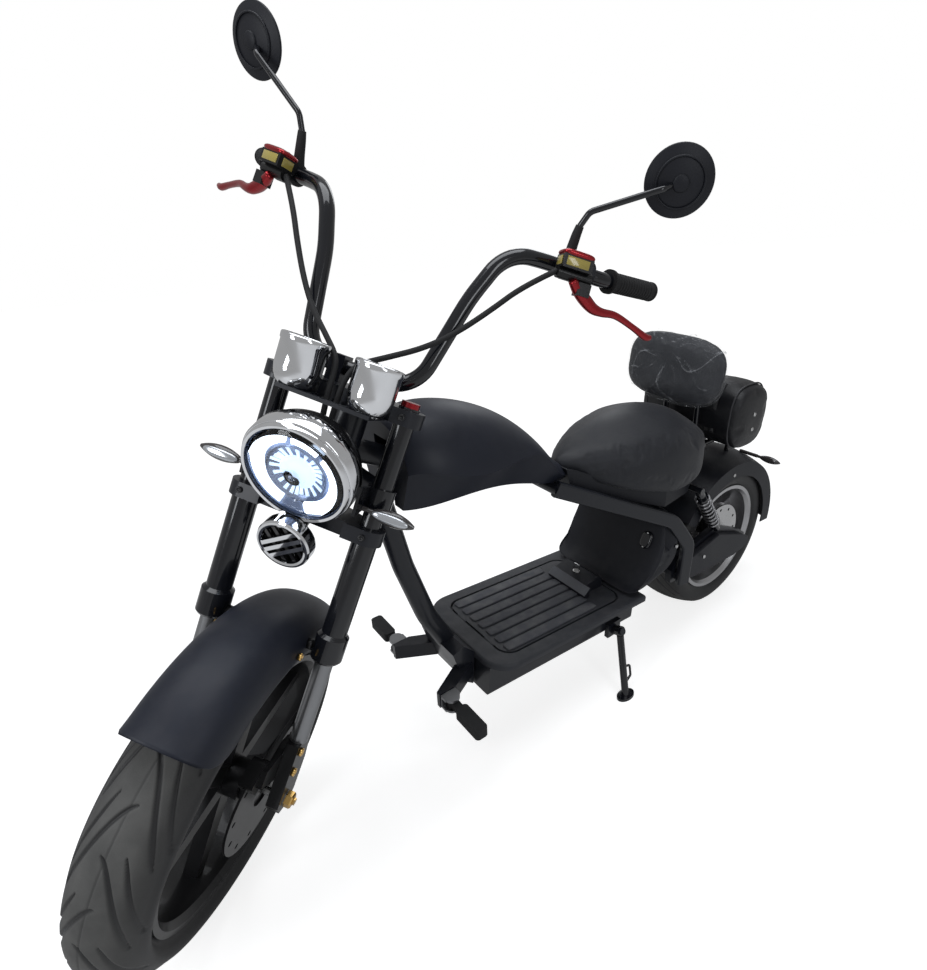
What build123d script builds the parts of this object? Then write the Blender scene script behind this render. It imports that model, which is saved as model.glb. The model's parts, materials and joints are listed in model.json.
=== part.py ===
from build123d import *
import math
import os

# Electric chopper scooter, in millimetres.
# It is drawn upright: +X forward, +Y to its left, +Z up, origin on the floor under the rear axle.
# At the end it leans on its side stand and is moved so that its base is centred on the origin.
# The steered parts are drawn in the fork's own axes: X forward, Y left, Z up along the steering axis.
# A place on the fork is written (up, side, ahead): up from the axle, side to the left, ahead of the legs.

# Driving sizes of the whole bike
WHEELBASE = 1400.0
RAKE = 26.9
FORK_OFFSET = 50.0
STEERING_STOP = 41.0
LEAN = 6.5

# Front wheel
FRONT_RADIUS = 292.0
FRONT_HALF_WIDTH = 62.0
FRONT_BEAD_RADIUS = 218.0
FRONT_RIM_HALF = 49.0
FRONT_SPOKES = 6
FRONT_DISC_RADIUS = 105.0
FRONT_DISC_SIDE = 72.0

# Rear wheel
REAR_RADIUS = 234.0
REAR_HALF_WIDTH = 100.0
REAR_BEAD_RADIUS = 158.0
REAR_RIM_HALF = 93.0
REAR_SPOKES = 5
MOTOR_RADIUS = 98.0
MOTOR_HALF_WIDTH = 60.0
REAR_DISC_RADIUS = 100.0
REAR_DISC_SIDE = 82.0
DISC_THICKNESS = 4.0

# Fork
LEG_SIDE = 103.5
LEG_RADIUS = 20.5
UPPER_LEG_RADIUS = 16.5
COLLAR_RADIUS = 26.0
SLIDER_RADIUS = 15.0
COLLAR_LOW = 262.0
COLLAR_HIGH = 311.0
FOOT_TOP = 112.0
FOOT_THICKNESS = 22.0
LOWER_CLAMP = 483.0
UPPER_CLAMP = 677.0
CLAMP_THICKNESS = 24.0
AXLE_RADIUS = 8.0
STEM_RADIUS = 14.0
HEAD_TUBE_RADIUS = 30.0
HEAD_TUBE_BORE = 14.5
HEAD_GAP = 2.0

# Handlebar: up, side, ahead of each corner of its left half, and the corner radii
BAR_RADIUS = 12.5
BAR_UP = 714.0
BAR_AHEAD = -32.0
BAR_CORNERS = [
    (BAR_UP, 92.0, BAR_AHEAD),
    (880.0, 123.0, -57.0),
    (968.0, 153.0, -68.0),
    (980.0, 205.0, -106.0),
    (992.0, 303.0, -150.0),
]
BAR_END = (1022.0, 386.0, -250.0)
BAR_BENDS = [60.0, 300.0, 74.0, 80.0, 60.0]
BAR_BORE = 9.0
BAR_BORE_DEPTH = 60.0
GRIP_RADIUS = 16.0
GRIP_LENGTH = 118.0

# Deck
DECK_TILT = 4.0
DECK_MIDDLE = 642.0
DECK_HEIGHT = 262.0
DECK_LENGTH = 480.0
DECK_HALF_WIDTH = 148.0
DECK_THICKNESS = 14.0
DECK_CORNER = 62.0
TRAY_HALF_WIDTH = 112.0
TRAY_DEPTH = 76.0
TRAY_WALL = 3.0
LID_LENGTH = 372.0
LID_HALF_WIDTH = 112.0
LID_THICKNESS = 8.0
LID_GAP = 5.0
LID_OPENING = 40.0
RIB_COUNT = 7
RIB_WIDTH = 17.0
RIB_HEIGHT = 2.5
BATTERY_HEIGHT = 44.0

# Frame
DOWN_TUBE_RADIUS = 21.0
BACKBONE_RADIUS = 20.0
RAIL_THICKNESS = 18.0
RAIL_HEIGHT = 36.0
PIVOT_AHEAD = 262.0
PIVOT_UP = 240.0
ARM_INSIDE = 116.0
ARM_THICKNESS = 18.0
COVER_THICKNESS = 17.0

# Soft parts
BACKREST_HALF_WIDTH = 145.0
BACKREST_HEIGHT = 176.0
BACKREST_THICKNESS = 58.0
BAG_HALF_LENGTH = 150.0
BAG_HEIGHT = 168.0
BAG_DEPTH = 150.0

# Side stand
STAND_PIVOT = (492.0, 142.0, 176.0)
STAND_FOOT = (524.0, 204.0)
STAND_RADIUS = 9.0
STAND_SWING = 100.0

# Foot pegs
PEG_PIVOT = (976.0, 112.0, 236.0)
PEG_LENGTH = 104.0
PEG_FOLD = 70.0

SEAT = 0.3
SIDES = (1, -1)

FRONT_AXLE = (WHEELBASE, FRONT_RADIUS)
SIN_RAKE = math.sin(math.radians(RAKE))
COS_RAKE = math.cos(math.radians(RAKE))
HEAD_FOOT = (FRONT_AXLE[0] - FORK_OFFSET * COS_RAKE, FRONT_AXLE[1] - FORK_OFFSET * SIN_RAKE)
FORK_PLACE = (
    Location((HEAD_FOOT[0], 0, HEAD_FOOT[1]), (0, -RAKE, 0))
    * Location((0, 0, 0), (0, 0, STEERING_STOP))
)
DECK_PLACE = Location((DECK_MIDDLE, 0, DECK_HEIGHT), (0, -DECK_TILT, 0))


# Helpers

def head_point(up, behind=0.0):
    """A point on the steering axis, or behind it, in the upright bike."""
    ahead = -behind
    x = HEAD_FOOT[0] - up * SIN_RAKE + ahead * COS_RAKE
    z = HEAD_FOOT[1] + up * COS_RAKE + ahead * SIN_RAKE
    return (x, 0, z)


def fork_point(up, side, ahead):
    """A place on the fork in the fork's own axes."""
    return Vector(ahead + FORK_OFFSET, side, up)


def rod(start, end, radius):
    """A round bar from one point to another."""
    a = Vector(*start)
    b = Vector(*end)
    return extrude(Plane(origin=a, z_dir=b - a) * Circle(radius), (b - a).length)


def tube(points, bends, radius):
    """A round bar along straight runs joined by arcs."""
    path = FilletPolyline(*points, radius=bends)
    section = Plane(origin=path @ 0, z_dir=path % 0) * Circle(radius)
    return sweep(section, path=path)


def placed(place, point):
    """A point given in the axes of a place or plane."""
    location = place.location if isinstance(place, Plane) else place
    return (location * Pos(*point)).position


def cord(points, radius):
    """A hose along a route, with each arc as large as its two runs allow."""
    radii = []
    for before, corner, after in zip(points, points[1:], points[2:]):
        into = corner - before
        out = after - corner
        half_turn = math.radians(into.get_angle(out)) / 2
        radii.append(0.45 * min(into.length, out.length) / math.tan(half_turn))
    return tube(points, radii, radius)


def ring(outer, bore, length):
    """A ring about Z, centred on the origin."""
    return Cylinder(outer, length) - Cylinder(bore, length)


def slab(points, low_side, high_side):
    """A plate of constant thickness: its outline in X and Z, between two places across the bike."""
    outline = make_face(Polyline(*points, close=True))
    return extrude(Plane.XZ.offset(-high_side) * outline, high_side - low_side)


def cap_arc(edge_radius, edge_level, apex_level):
    """A profile arc from a rim to the axis, part of a sphere centred on the axis."""
    rise = apex_level - edge_level
    sphere = (edge_radius ** 2 + rise ** 2) / (2 * abs(rise))
    centre = apex_level - math.copysign(sphere, rise)
    half = math.asin(edge_radius / sphere) / 2
    middle = (sphere * math.sin(half), centre + math.copysign(sphere * math.cos(half), rise))
    return ThreePointArc((edge_radius, edge_level), middle, (0, apex_level))


def across(side, inner, outer):
    """The two places across the bike, in rising order, of something on one side."""
    return sorted((side * inner, side * outer))


def spun(outline, start=0.0, sweep_angle=360.0):
    """A profile of (across, radius) points turned about Y, from an angle past straight up."""
    face = Plane.YZ * make_face(Polyline(*outline, close=True))
    return revolve(Rot(0, start, 0) * face, axis=Axis.Y, revolution_arc=sweep_angle)


def domed(station):
    """A body section across the bike: flat bottom, sloping sides, one arc over the top."""
    ahead, bottom_half, bottom, side_half, side, top = station
    edges = [
        Line((-bottom_half, bottom), (bottom_half, bottom)),
        Line((bottom_half, bottom), (side_half, side)),
        ThreePointArc((side_half, side), (0, top), (-side_half, side)),
        Line((-side_half, side), (-bottom_half, bottom)),
    ]
    return Plane.YZ.offset(ahead) * make_face(edges)


# Wheels

def tyre(radius, half_width, bead, rim_half, shoulder_drop):
    """A tyre about Y with a rounded crown and a shoulder edge."""
    seat_half = rim_half - 4.3
    shoulder = (half_width - 5, radius - shoulder_drop)
    edges = [
        Line((-seat_half, bead), (seat_half, bead)),
        Line((seat_half, bead), (seat_half, bead + 8)),
        Line((seat_half, bead + 8), (rim_half + 3, bead + 14)),
        ThreePointArc(
            (rim_half + 3, bead + 14),
            (half_width, (bead + 14 + shoulder[1]) / 2),
            shoulder,
        ),
        ThreePointArc(shoulder, (0, radius), (-shoulder[0], shoulder[1])),
        ThreePointArc(
            (-shoulder[0], shoulder[1]),
            (-half_width, (bead + 14 + shoulder[1]) / 2),
            (-rim_half - 3, bead + 14),
        ),
        Line((-rim_half - 3, bead + 14), (-seat_half, bead + 8)),
        Line((-seat_half, bead + 8), (-seat_half, bead)),
    ]
    return revolve(Plane.YZ * make_face(edges), axis=Axis.Y)


def crown_radius(radius, half_width, shoulder_drop):
    """Radius of a tyre's crown arc, from its width and its drop at the shoulder."""
    half = half_width - 5
    return (half * half + shoulder_drop * shoulder_drop) / (2 * shoulder_drop)


def rim_barrel(bead, half_width, depth):
    """The hoop of a rim, with a flange at each side."""
    low = bead - depth
    return spun([
        (-half_width, bead + 6), (-half_width + 4, bead + 6), (-half_width + 4, bead - SEAT),
        (half_width - 4, bead - SEAT), (half_width - 4, bead + 6), (half_width, bead + 6),
        (half_width, bead - 4), (half_width - 10, low), (-half_width + 10, low),
        (-half_width, bead - 4),
    ])


def spokes(count, root, tip, root_half, tip_half, thickness):
    """Tapered spokes about Y."""
    blade = slab(
        [(-root_half, root), (root_half, root), (tip_half, tip), (-tip_half, tip)],
        -thickness / 2, thickness / 2,
    )
    return [Rot(0, 360.0 * i / count, 0) * blade for i in range(count)]


def drum(radius, half_width):
    """A cylinder about Y."""
    return Rot(90, 0, 0) * Cylinder(radius, 2 * half_width)


def disc(radius, bore, side):
    """A brake disc about Y with a row of holes."""
    plate = Cylinder(radius, DISC_THICKNESS) - Cylinder(bore, DISC_THICKNESS)
    for i in range(12):
        plate -= Rot(0, 0, 30 * i) * Pos(radius - 14, 0, 0) * Cylinder(4.5, DISC_THICKNESS)
    return Pos(0, side, 0) * Rot(90, 0, 0) * plate


FRONT_DROP = 36.0
REAR_DROP = 22.0
HUB_RADIUS = 32.0
DISC_BORE = 29.0


def front_wheel():
    """Black cast rim, tyre and disc, about the front axle."""
    rim = rim_barrel(FRONT_BEAD_RADIUS, FRONT_RIM_HALF, 12)
    rim += drum(HUB_RADIUS, 42)
    for blade in spokes(FRONT_SPOKES, HUB_RADIUS - 6, FRONT_BEAD_RADIUS - 8, 17, 11, 26):
        rim += blade
    rim += Pos(0, (42 + FRONT_DISC_SIDE - 2 - SEAT) / 2, 0) * drum(DISC_BORE - 1, 14)
    rim -= drum(AXLE_RADIUS + 0.5, 80)
    return {
        "front_rim": rim,
        "front_tyre": tyre(
            FRONT_RADIUS, FRONT_HALF_WIDTH, FRONT_BEAD_RADIUS, FRONT_RIM_HALF, FRONT_DROP
        ),
        "front_disc": disc(FRONT_DISC_RADIUS, DISC_BORE, FRONT_DISC_SIDE),
    }


def rear_wheel():
    """Silver hub-motor rim, fat tyre and disc, about the rear axle."""
    rim = rim_barrel(REAR_BEAD_RADIUS, REAR_RIM_HALF, 10)
    rim += drum(MOTOR_RADIUS, MOTOR_HALF_WIDTH)
    for blade in spokes(REAR_SPOKES, MOTOR_RADIUS - 6, REAR_BEAD_RADIUS - 6, 20, 15, 60):
        rim += blade
    rim += Pos(0, 68, 0) * drum(DISC_BORE - 1, REAR_DISC_SIDE - 68 - 2 - SEAT)
    rim -= drum(AXLE_RADIUS + 1.5, 100)
    return {
        "rear_rim": rim,
        "rear_tyre": tyre(
            REAR_RADIUS, REAR_HALF_WIDTH, REAR_BEAD_RADIUS, REAR_RIM_HALF, REAR_DROP
        ),
        "rear_disc": disc(REAR_DISC_RADIUS, DISC_BORE, REAR_DISC_SIDE),
    }


# Fork, in its own axes

def fork_legs():
    """Upper tubes, silver sliders, axle feet and the axle."""
    clamp_low = LOWER_CLAMP - CLAMP_THICKNESS / 2
    tubes = []
    sliders = []
    feet = []
    caps = []
    foot_outline = [
        (22, FOOT_TOP), (-22, FOOT_TOP), (-34, 62), (-31, -2), (-16, -24),
        (10, -24), (25, -6), (24, 50),
    ]
    outline = [(FORK_OFFSET + ahead, up) for ahead, up in foot_outline]
    for side in SIDES:
        profile = make_face(Polyline(
            (0, COLLAR_LOW), (COLLAR_RADIUS - 3, COLLAR_LOW), (COLLAR_RADIUS, COLLAR_LOW + 4),
            (COLLAR_RADIUS, COLLAR_HIGH - 5), (LEG_RADIUS, COLLAR_HIGH),
            (LEG_RADIUS, clamp_low - SEAT), (UPPER_LEG_RADIUS, clamp_low - SEAT),
            (UPPER_LEG_RADIUS, UPPER_CLAMP + CLAMP_THICKNESS / 2 + 4),
            (0, UPPER_CLAMP + CLAMP_THICKNESS / 2 + 4), close=True,
        ))
        leg = revolve(Plane.XZ * profile, axis=Axis.Z)
        tubes.append(Pos(FORK_OFFSET, side * LEG_SIDE, 0) * leg)
        sliders.append(rod(
            fork_point(FOOT_TOP, side * LEG_SIDE, 0),
            fork_point(COLLAR_LOW, side * LEG_SIDE, 0), SLIDER_RADIUS,
        ))
        low, high = across(side, LEG_SIDE - FOOT_THICKNESS / 2, LEG_SIDE + FOOT_THICKNESS / 2)
        foot = slab(outline, low, high)
        foot -= Pos(FORK_OFFSET, side * LEG_SIDE, 0) * drum(AXLE_RADIUS + SEAT, FOOT_THICKNESS)
        feet.append(foot)
        caps.append(
            Pos(FORK_OFFSET, side * LEG_SIDE, UPPER_CLAMP + CLAMP_THICKNESS / 2 + 4 + 4)
            * Cylinder(UPPER_LEG_RADIUS - 2, 8)
        )
    nut_side = LEG_SIDE + FOOT_THICKNESS / 2
    axle = Pos(FORK_OFFSET, 0, 0) * drum(AXLE_RADIUS, nut_side + 12)
    for side in SIDES:
        nut = extrude(RegularPolygon(13, 6), 9)
        axle += Pos(FORK_OFFSET, side * nut_side, 0) * Rot(-90 * side, 0, 0) * nut
    return {
        "fork_tubes": tubes,
        "fork_sliders": sliders,
        "fork_feet": feet,
        "fork_caps": caps,
        "front_axle": axle,
    }


CUP_RADIUS = 34.0
CUP_SIDE = 58.0
CUP_AHEAD = 50.0
CUP_LOW = 672.0
CUP_HIGH = 738.0
LAMP_UP = 552.0
LAMP_AHEAD = 88.0
LAMP_RADIUS = 85.0
LAMP_DIP = 3.7
BEZEL_WIDTH = 7.0
HORN_UP = 440.0
HORN_AHEAD = 47.0
HORN_RADIUS = 42.0


def clamps():
    """The two yokes that hold the fork legs, and the steering stem."""
    holders = Circle(34)
    for side in SIDES:
        holders += Pos(FORK_OFFSET, side * LEG_SIDE) * Circle(UPPER_LEG_RADIUS + 10)
    outline = make_hull(holders.edges())
    holes = []
    for side in SIDES:
        holes.append(
            Pos(FORK_OFFSET, side * LEG_SIDE, 0) * Cylinder(UPPER_LEG_RADIUS + SEAT / 2, 100)
        )
    lower = Pos(0, 0, LOWER_CLAMP - CLAMP_THICKNESS / 2) * extrude(outline, CLAMP_THICKNESS)
    upper = Pos(0, 0, UPPER_CLAMP - CLAMP_THICKNESS / 2) * extrude(outline, CLAMP_THICKNESS)
    for hole in holes:
        lower -= Pos(0, 0, LOWER_CLAMP) * hole
        upper -= Pos(0, 0, UPPER_CLAMP) * hole
    lower -= Pos(FORK_OFFSET + 41, 0, LOWER_CLAMP) * Box(50, 140, 60)
    upper_top = UPPER_CLAMP + CLAMP_THICKNESS / 2
    for side in SIDES:
        upper -= (
            Pos(FORK_OFFSET + CUP_AHEAD, side * CUP_SIDE, UPPER_CLAMP + 10)
            * Cylinder(CUP_RADIUS + 2, 60)
        )
        riser = Pos(FORK_OFFSET + BAR_AHEAD, side * 34, upper_top) * Box(
            34, 24, BAR_UP - upper_top + BAR_RADIUS + 5,
            align=(Align.CENTER, Align.CENTER, Align.MIN),
        )
        riser -= Pos(FORK_OFFSET + BAR_AHEAD, side * 34, BAR_UP) * drum(BAR_RADIUS + 0.1, 20)
        upper += riser
    bracket_low = UPPER_CLAMP - CLAMP_THICKNESS / 2 - 4
    bracket = Pos(FORK_OFFSET + 36, 0, bracket_low + 3) * Box(76, 2 * CUP_SIDE + 30, 6)
    bracket -= Pos(0, 0, bracket_low) * Cylinder(HEAD_TUBE_RADIUS + 7, 30)
    bracket -= Pos(FORK_OFFSET + 45, 0, bracket_low) * Box(32, 52, 30)
    for side in SIDES:
        bracket -= (
            Pos(FORK_OFFSET, side * LEG_SIDE, bracket_low) * Cylinder(UPPER_LEG_RADIUS + 0.5, 30)
        )
        bracket += rod(
            fork_point(bracket_low + 3, side * CUP_SIDE, CUP_AHEAD),
            fork_point(CUP_LOW - SEAT, side * CUP_SIDE, CUP_AHEAD), 8,
        )
    upper += bracket
    stem_low = LOWER_CLAMP + CLAMP_THICKNESS / 2
    stem_high = UPPER_CLAMP - CLAMP_THICKNESS / 2
    lower += rod((0, 0, stem_low - 5), (0, 0, stem_high), STEM_RADIUS)
    return {"lower_clamp": lower, "upper_clamp": upper}


def lamp_place():
    """Where the headlight faces: level forward, dipped a little."""
    return Location(
        (FORK_OFFSET + LAMP_AHEAD, 0, LAMP_UP), (0, 90 + RAKE + LAMP_DIP, 0)
    )


def headlight():
    """Bucket, bright bezel and lens, with ears that clamp the fork tubes."""
    rim = LAMP_RADIUS
    lens_radius = rim - BEZEL_WIDTH - SEAT
    bucket = revolve(Plane.XZ * make_face([
        Line((0, -14), (rim - 6, -14)),
        Line((rim - 6, -14), (rim + 2, -22)),
        Line((rim + 2, -22), (rim - 1, -40)),
        ThreePointArc((rim - 1, -40), (rim - 20, -72), (rim - 48, -88)),
        Line((rim - 48, -88), (0, -88)),
        Line((0, -88), (0, -14)),
    ]), axis=Axis.Z)
    bezel = revolve(Plane.XZ * make_face([
        Line((rim - BEZEL_WIDTH, 2), (rim - BEZEL_WIDTH, -13.7)),
        Line((rim - BEZEL_WIDTH, -13.7), (rim - 1, -13.7)),
        ThreePointArc((rim - 1, -13.7), (rim, -5), (rim - 3, 3)),
        Line((rim - 3, 3), (rim - BEZEL_WIDTH, 2)),
    ]), axis=Axis.Z)
    lens = revolve(Plane.XZ * make_face([
        Line((0, -13.7), (lens_radius, -13.7)),
        Line((lens_radius, -13.7), (lens_radius, -3)),
        cap_arc(lens_radius, -3, 2),
        Line((0, 2), (0, -13.7)),
    ]), axis=Axis.Z)
    place = lamp_place()
    ears = []
    for side in SIDES:
        ear = Pos(FORK_OFFSET, side * LEG_SIDE, 545) * ring(
            UPPER_LEG_RADIUS + 6, UPPER_LEG_RADIUS + SEAT / 2, 34
        )
        low, high = across(side, LAMP_RADIUS + 3, LAMP_RADIUS + 8)
        arm = slab([
            (FORK_OFFSET + 12, 529), (FORK_OFFSET + 62, 520), (FORK_OFFSET + 66, 566),
            (FORK_OFFSET + 12, 561),
        ], low, high)
        arm -= Pos(FORK_OFFSET, side * LEG_SIDE, 545) * Cylinder(UPPER_LEG_RADIUS + 3, 60)
        pin_low, pin_high = across(side, LAMP_RADIUS - 6, LAMP_RADIUS + 4)
        boss = rod((FORK_OFFSET + 52, pin_low, 549), (FORK_OFFSET + 52, pin_high, 549), 5)
        boss -= place * bucket
        ears.append(ear + arm + boss)
    return {
        "headlight_bucket": place * bucket,
        "headlight_bezel": place * bezel,
        "headlight_lens": place * lens,
        "headlight_ears": ears,
    }


def horn():
    """Round horn with three slanted bars over its mouth, and its strap to the lower clamp."""
    body = Cylinder(HORN_RADIUS - 6, 10, align=(Align.CENTER, Align.CENTER, Align.MAX))
    shell = ring(HORN_RADIUS, HORN_RADIUS - 5, 14)
    back = Pos(0, 0, -10) * Cylinder(HORN_RADIUS, 8)
    back += Pos(0, 0, -18) * Cylinder(HORN_RADIUS - 14, 10)
    horn_body = Pos(0, 0, 1) * shell + back + Pos(0, 0, -2) * body
    for offset in (-17, 0, 17):
        reach = math.sqrt((HORN_RADIUS - 4) ** 2 - offset ** 2)
        horn_body += Rot(0, 0, 35) * Pos(0, offset, 3) * Box(2 * reach, 6, 4)
    place = Location((FORK_OFFSET + HORN_AHEAD, 0, HORN_UP), (0, 90 + RAKE, 0))
    clamp_low = LOWER_CLAMP - CLAMP_THICKNESS / 2
    strap = slab([
        (44, clamp_low - SEAT), (60, clamp_low - SEAT), (84, clamp_low - 20),
        (80, clamp_low - 26), (57, clamp_low - 4), (44, clamp_low - 4),
    ], -12, 12)
    return {"horn": place * horn_body + strap}


def signal(length, width, height):
    """A leaf-shaped turn signal along +Y from the origin, on a short stem."""
    body = loft([
        Plane.XZ.offset(-18) * Ellipse(width * 0.45, height * 0.45),
        Plane.XZ.offset(-18 - 0.45 * length) * Ellipse(width, height),
        Plane.XZ.offset(-18 - 0.8 * length) * Ellipse(width * 0.7, height * 0.7),
        Plane.XZ.offset(-18 - length) * Ellipse(width * 0.2, height * 0.2),
    ])
    return body + rod((0, 0, 0), (0, 19, 0), 4)


def fork_trim():
    """Front signals and gauge cups."""
    signals = []
    cups = []
    for side in SIDES:
        turn = 0 if side > 0 else 180
        signals.append(
            Location((FORK_OFFSET + 36, side * (LAMP_RADIUS + 8 + SEAT), 530), (0, 0, turn))
            * signal(66, 9, 12)
        )
        cup = revolve(Plane.XZ * make_face([
            Line((0, 0), (9, 0)),
            ThreePointArc((9, 0), (CUP_RADIUS - 7, 13), (CUP_RADIUS, 36)),
            Line((CUP_RADIUS, 36), (CUP_RADIUS, CUP_HIGH - CUP_LOW - 2)),
            Line((CUP_RADIUS, CUP_HIGH - CUP_LOW - 2), (CUP_RADIUS - 2, CUP_HIGH - CUP_LOW)),
            Line((CUP_RADIUS - 2, CUP_HIGH - CUP_LOW), (CUP_RADIUS - 5, CUP_HIGH - CUP_LOW)),
            Line((CUP_RADIUS - 5, CUP_HIGH - CUP_LOW), (CUP_RADIUS - 5, CUP_HIGH - CUP_LOW - 7)),
            Line((CUP_RADIUS - 5, CUP_HIGH - CUP_LOW - 7), (0, CUP_HIGH - CUP_LOW - 7)),
            Line((0, CUP_HIGH - CUP_LOW - 7), (0, 0)),
        ]), axis=Axis.Z)
        place = Pos(FORK_OFFSET + CUP_AHEAD, side * CUP_SIDE, CUP_LOW)
        cups.append(place * cup)
    return {"front_signals": signals, "gauge_cups": cups}


FENDER_CROWN = 322.0
FENDER_EDGE = 284.0
FENDER_HALF = 70.0
FENDER_FRONT = 50.0
FENDER_BEHIND = 44.0
FENDER_SHEET = 3.0
FENDER_CORNER = 23.0


def arched_fender(crown, edge, skirt, half_width, thickness, start, span):
    """A mudguard about Y: an arc over the crown and straight skirts down its sides."""
    inner_half = half_width - thickness
    edges = [
        Line((-half_width, skirt), (-half_width, edge)),
        ThreePointArc((-half_width, edge), (0, crown), (half_width, edge)),
        Line((half_width, edge), (half_width, skirt)),
        Line((half_width, skirt), (inner_half, skirt)),
        Line((inner_half, skirt), (inner_half, edge - thickness)),
        ThreePointArc(
            (inner_half, edge - thickness), (0, crown - thickness),
            (-inner_half, edge - thickness),
        ),
        Line((-inner_half, edge - thickness), (-inner_half, skirt)),
        Line((-inner_half, skirt), (-half_width, skirt)),
    ]
    face = Rot(0, start, 0) * (Plane.YZ * make_face(edges))
    return revolve(face, axis=Axis.Y, revolution_arc=span)


def front_fender():
    """Front mudguard, with a boss each side that is bolted to the fork collar."""
    fender = arched_fender(
        FENDER_CROWN, FENDER_EDGE, 258, FENDER_HALF, FENDER_SHEET, -FENDER_BEHIND,
        FENDER_BEHIND + FENDER_FRONT,
    )
    corners = [
        edge for edge in fender.edges().filter_by(Axis.Y) if edge.length < 2 * FENDER_SHEET
    ]
    fender = Pos(FORK_OFFSET, 0, 0) * fillet(corners, FENDER_CORNER)
    for side in SIDES:
        fender += rod(
            fork_point(276, side * (FENDER_HALF - 1), 0),
            fork_point(276, side * (LEG_SIDE - COLLAR_RADIUS - SEAT), 0), 9,
        )
    return {"front_fender": fender}


def caliper(radius, side, angle, width, foot):
    """A brake caliper about Y: a block with a slot for the disc, on a tab towards its mount."""
    block = Box(46, width, 40)
    block = fillet(block.edges().filter_by(Axis.Y), 8)
    block = Pos(0, side, radius) * block
    body = Rot(0, angle, 0) * block
    slot = Pos(0, side, 0) * Rot(90, 0, 0) * Cylinder(radius + 14, DISC_THICKNESS + 4)
    return body - slot + foot


def front_caliper():
    """Caliper ahead of the left leg, on a tab of the left foot."""
    inner = FRONT_DISC_SIDE + 6
    outer = LEG_SIDE - FOOT_THICKNESS / 2 - SEAT
    tab = slab([(-20, 96), (18, 96), (70, 88), (74, 60), (20, 40), (-20, 40)], inner, outer)
    body = caliper(FRONT_DISC_RADIUS - 12, FRONT_DISC_SIDE, 42, 24, tab)
    return {"front_caliper": Pos(FORK_OFFSET, 0, 0) * body}


# Handlebar and its controls, in the fork's axes

def bar_point(corner, side):
    """A corner of the handlebar on one side."""
    up, across_bar, ahead = corner
    return fork_point(up, side * across_bar, ahead)


def bar_station(run, distance, side):
    """A plane on a straight run of the bar: X outwards along it, Z up."""
    corners = BAR_CORNERS + [BAR_END]
    start = bar_point(corners[run], side)
    end = bar_point(corners[run + 1], side)
    along = (end - start).normalized()
    origin = start + along * distance
    up = Vector(0, 0, 1) - along * along.Z
    return Plane(origin=origin, x_dir=along, z_dir=up)


CONTROL_RUN = 3
CLAMP_ALONG = 44.0
SWITCH_ALONG = 74.0
MIRROR_RADIUS = 54.0
MIRROR_UP = 1160.0
MIRROR_SIDE = 362.0
MIRROR_AHEAD = -114.0
HOSE_RADIUS = 4.5

# Routes of the hoses: up, side, ahead
HOSE_ROUTE = [
    (925, 196, -58), (872, 163, -42), (822, 128, -26), (783, 92, -8), (752, 50, 12),
    (728, 17, 30), (702, 9, 40), (668, 8, 42), (618, 6, 34),
]
CALIPER_HOSE_ROUTE = [
    (LOWER_CLAMP - CLAMP_THICKNESS / 2 - SEAT, 76, -14), (432, 90, -36), (300, 98, -41),
    (172, 93, -38), (132, 81, -8), (111, 80, 32), (92, 80, 50),
]


def mirror_shell(side):
    """A round mirror with a domed back, facing the rider."""
    facing = Vector(-0.87, -0.25 * side, 0.5)
    shell = revolve(Plane.XZ * make_face([
        Line((0, 0), (MIRROR_RADIUS - 2, 0)),
        ThreePointArc((MIRROR_RADIUS - 2, 0), (MIRROR_RADIUS, -2), (MIRROR_RADIUS - 1, -5)),
        cap_arc(MIRROR_RADIUS - 1, -5, -17),
        Line((0, -17), (0, 0)),
    ]), axis=Axis.Z)
    origin = fork_point(MIRROR_UP, side * MIRROR_SIDE, MIRROR_AHEAD)
    return Plane(origin=origin, x_dir=(0, 1, 0), z_dir=facing) * shell


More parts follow.
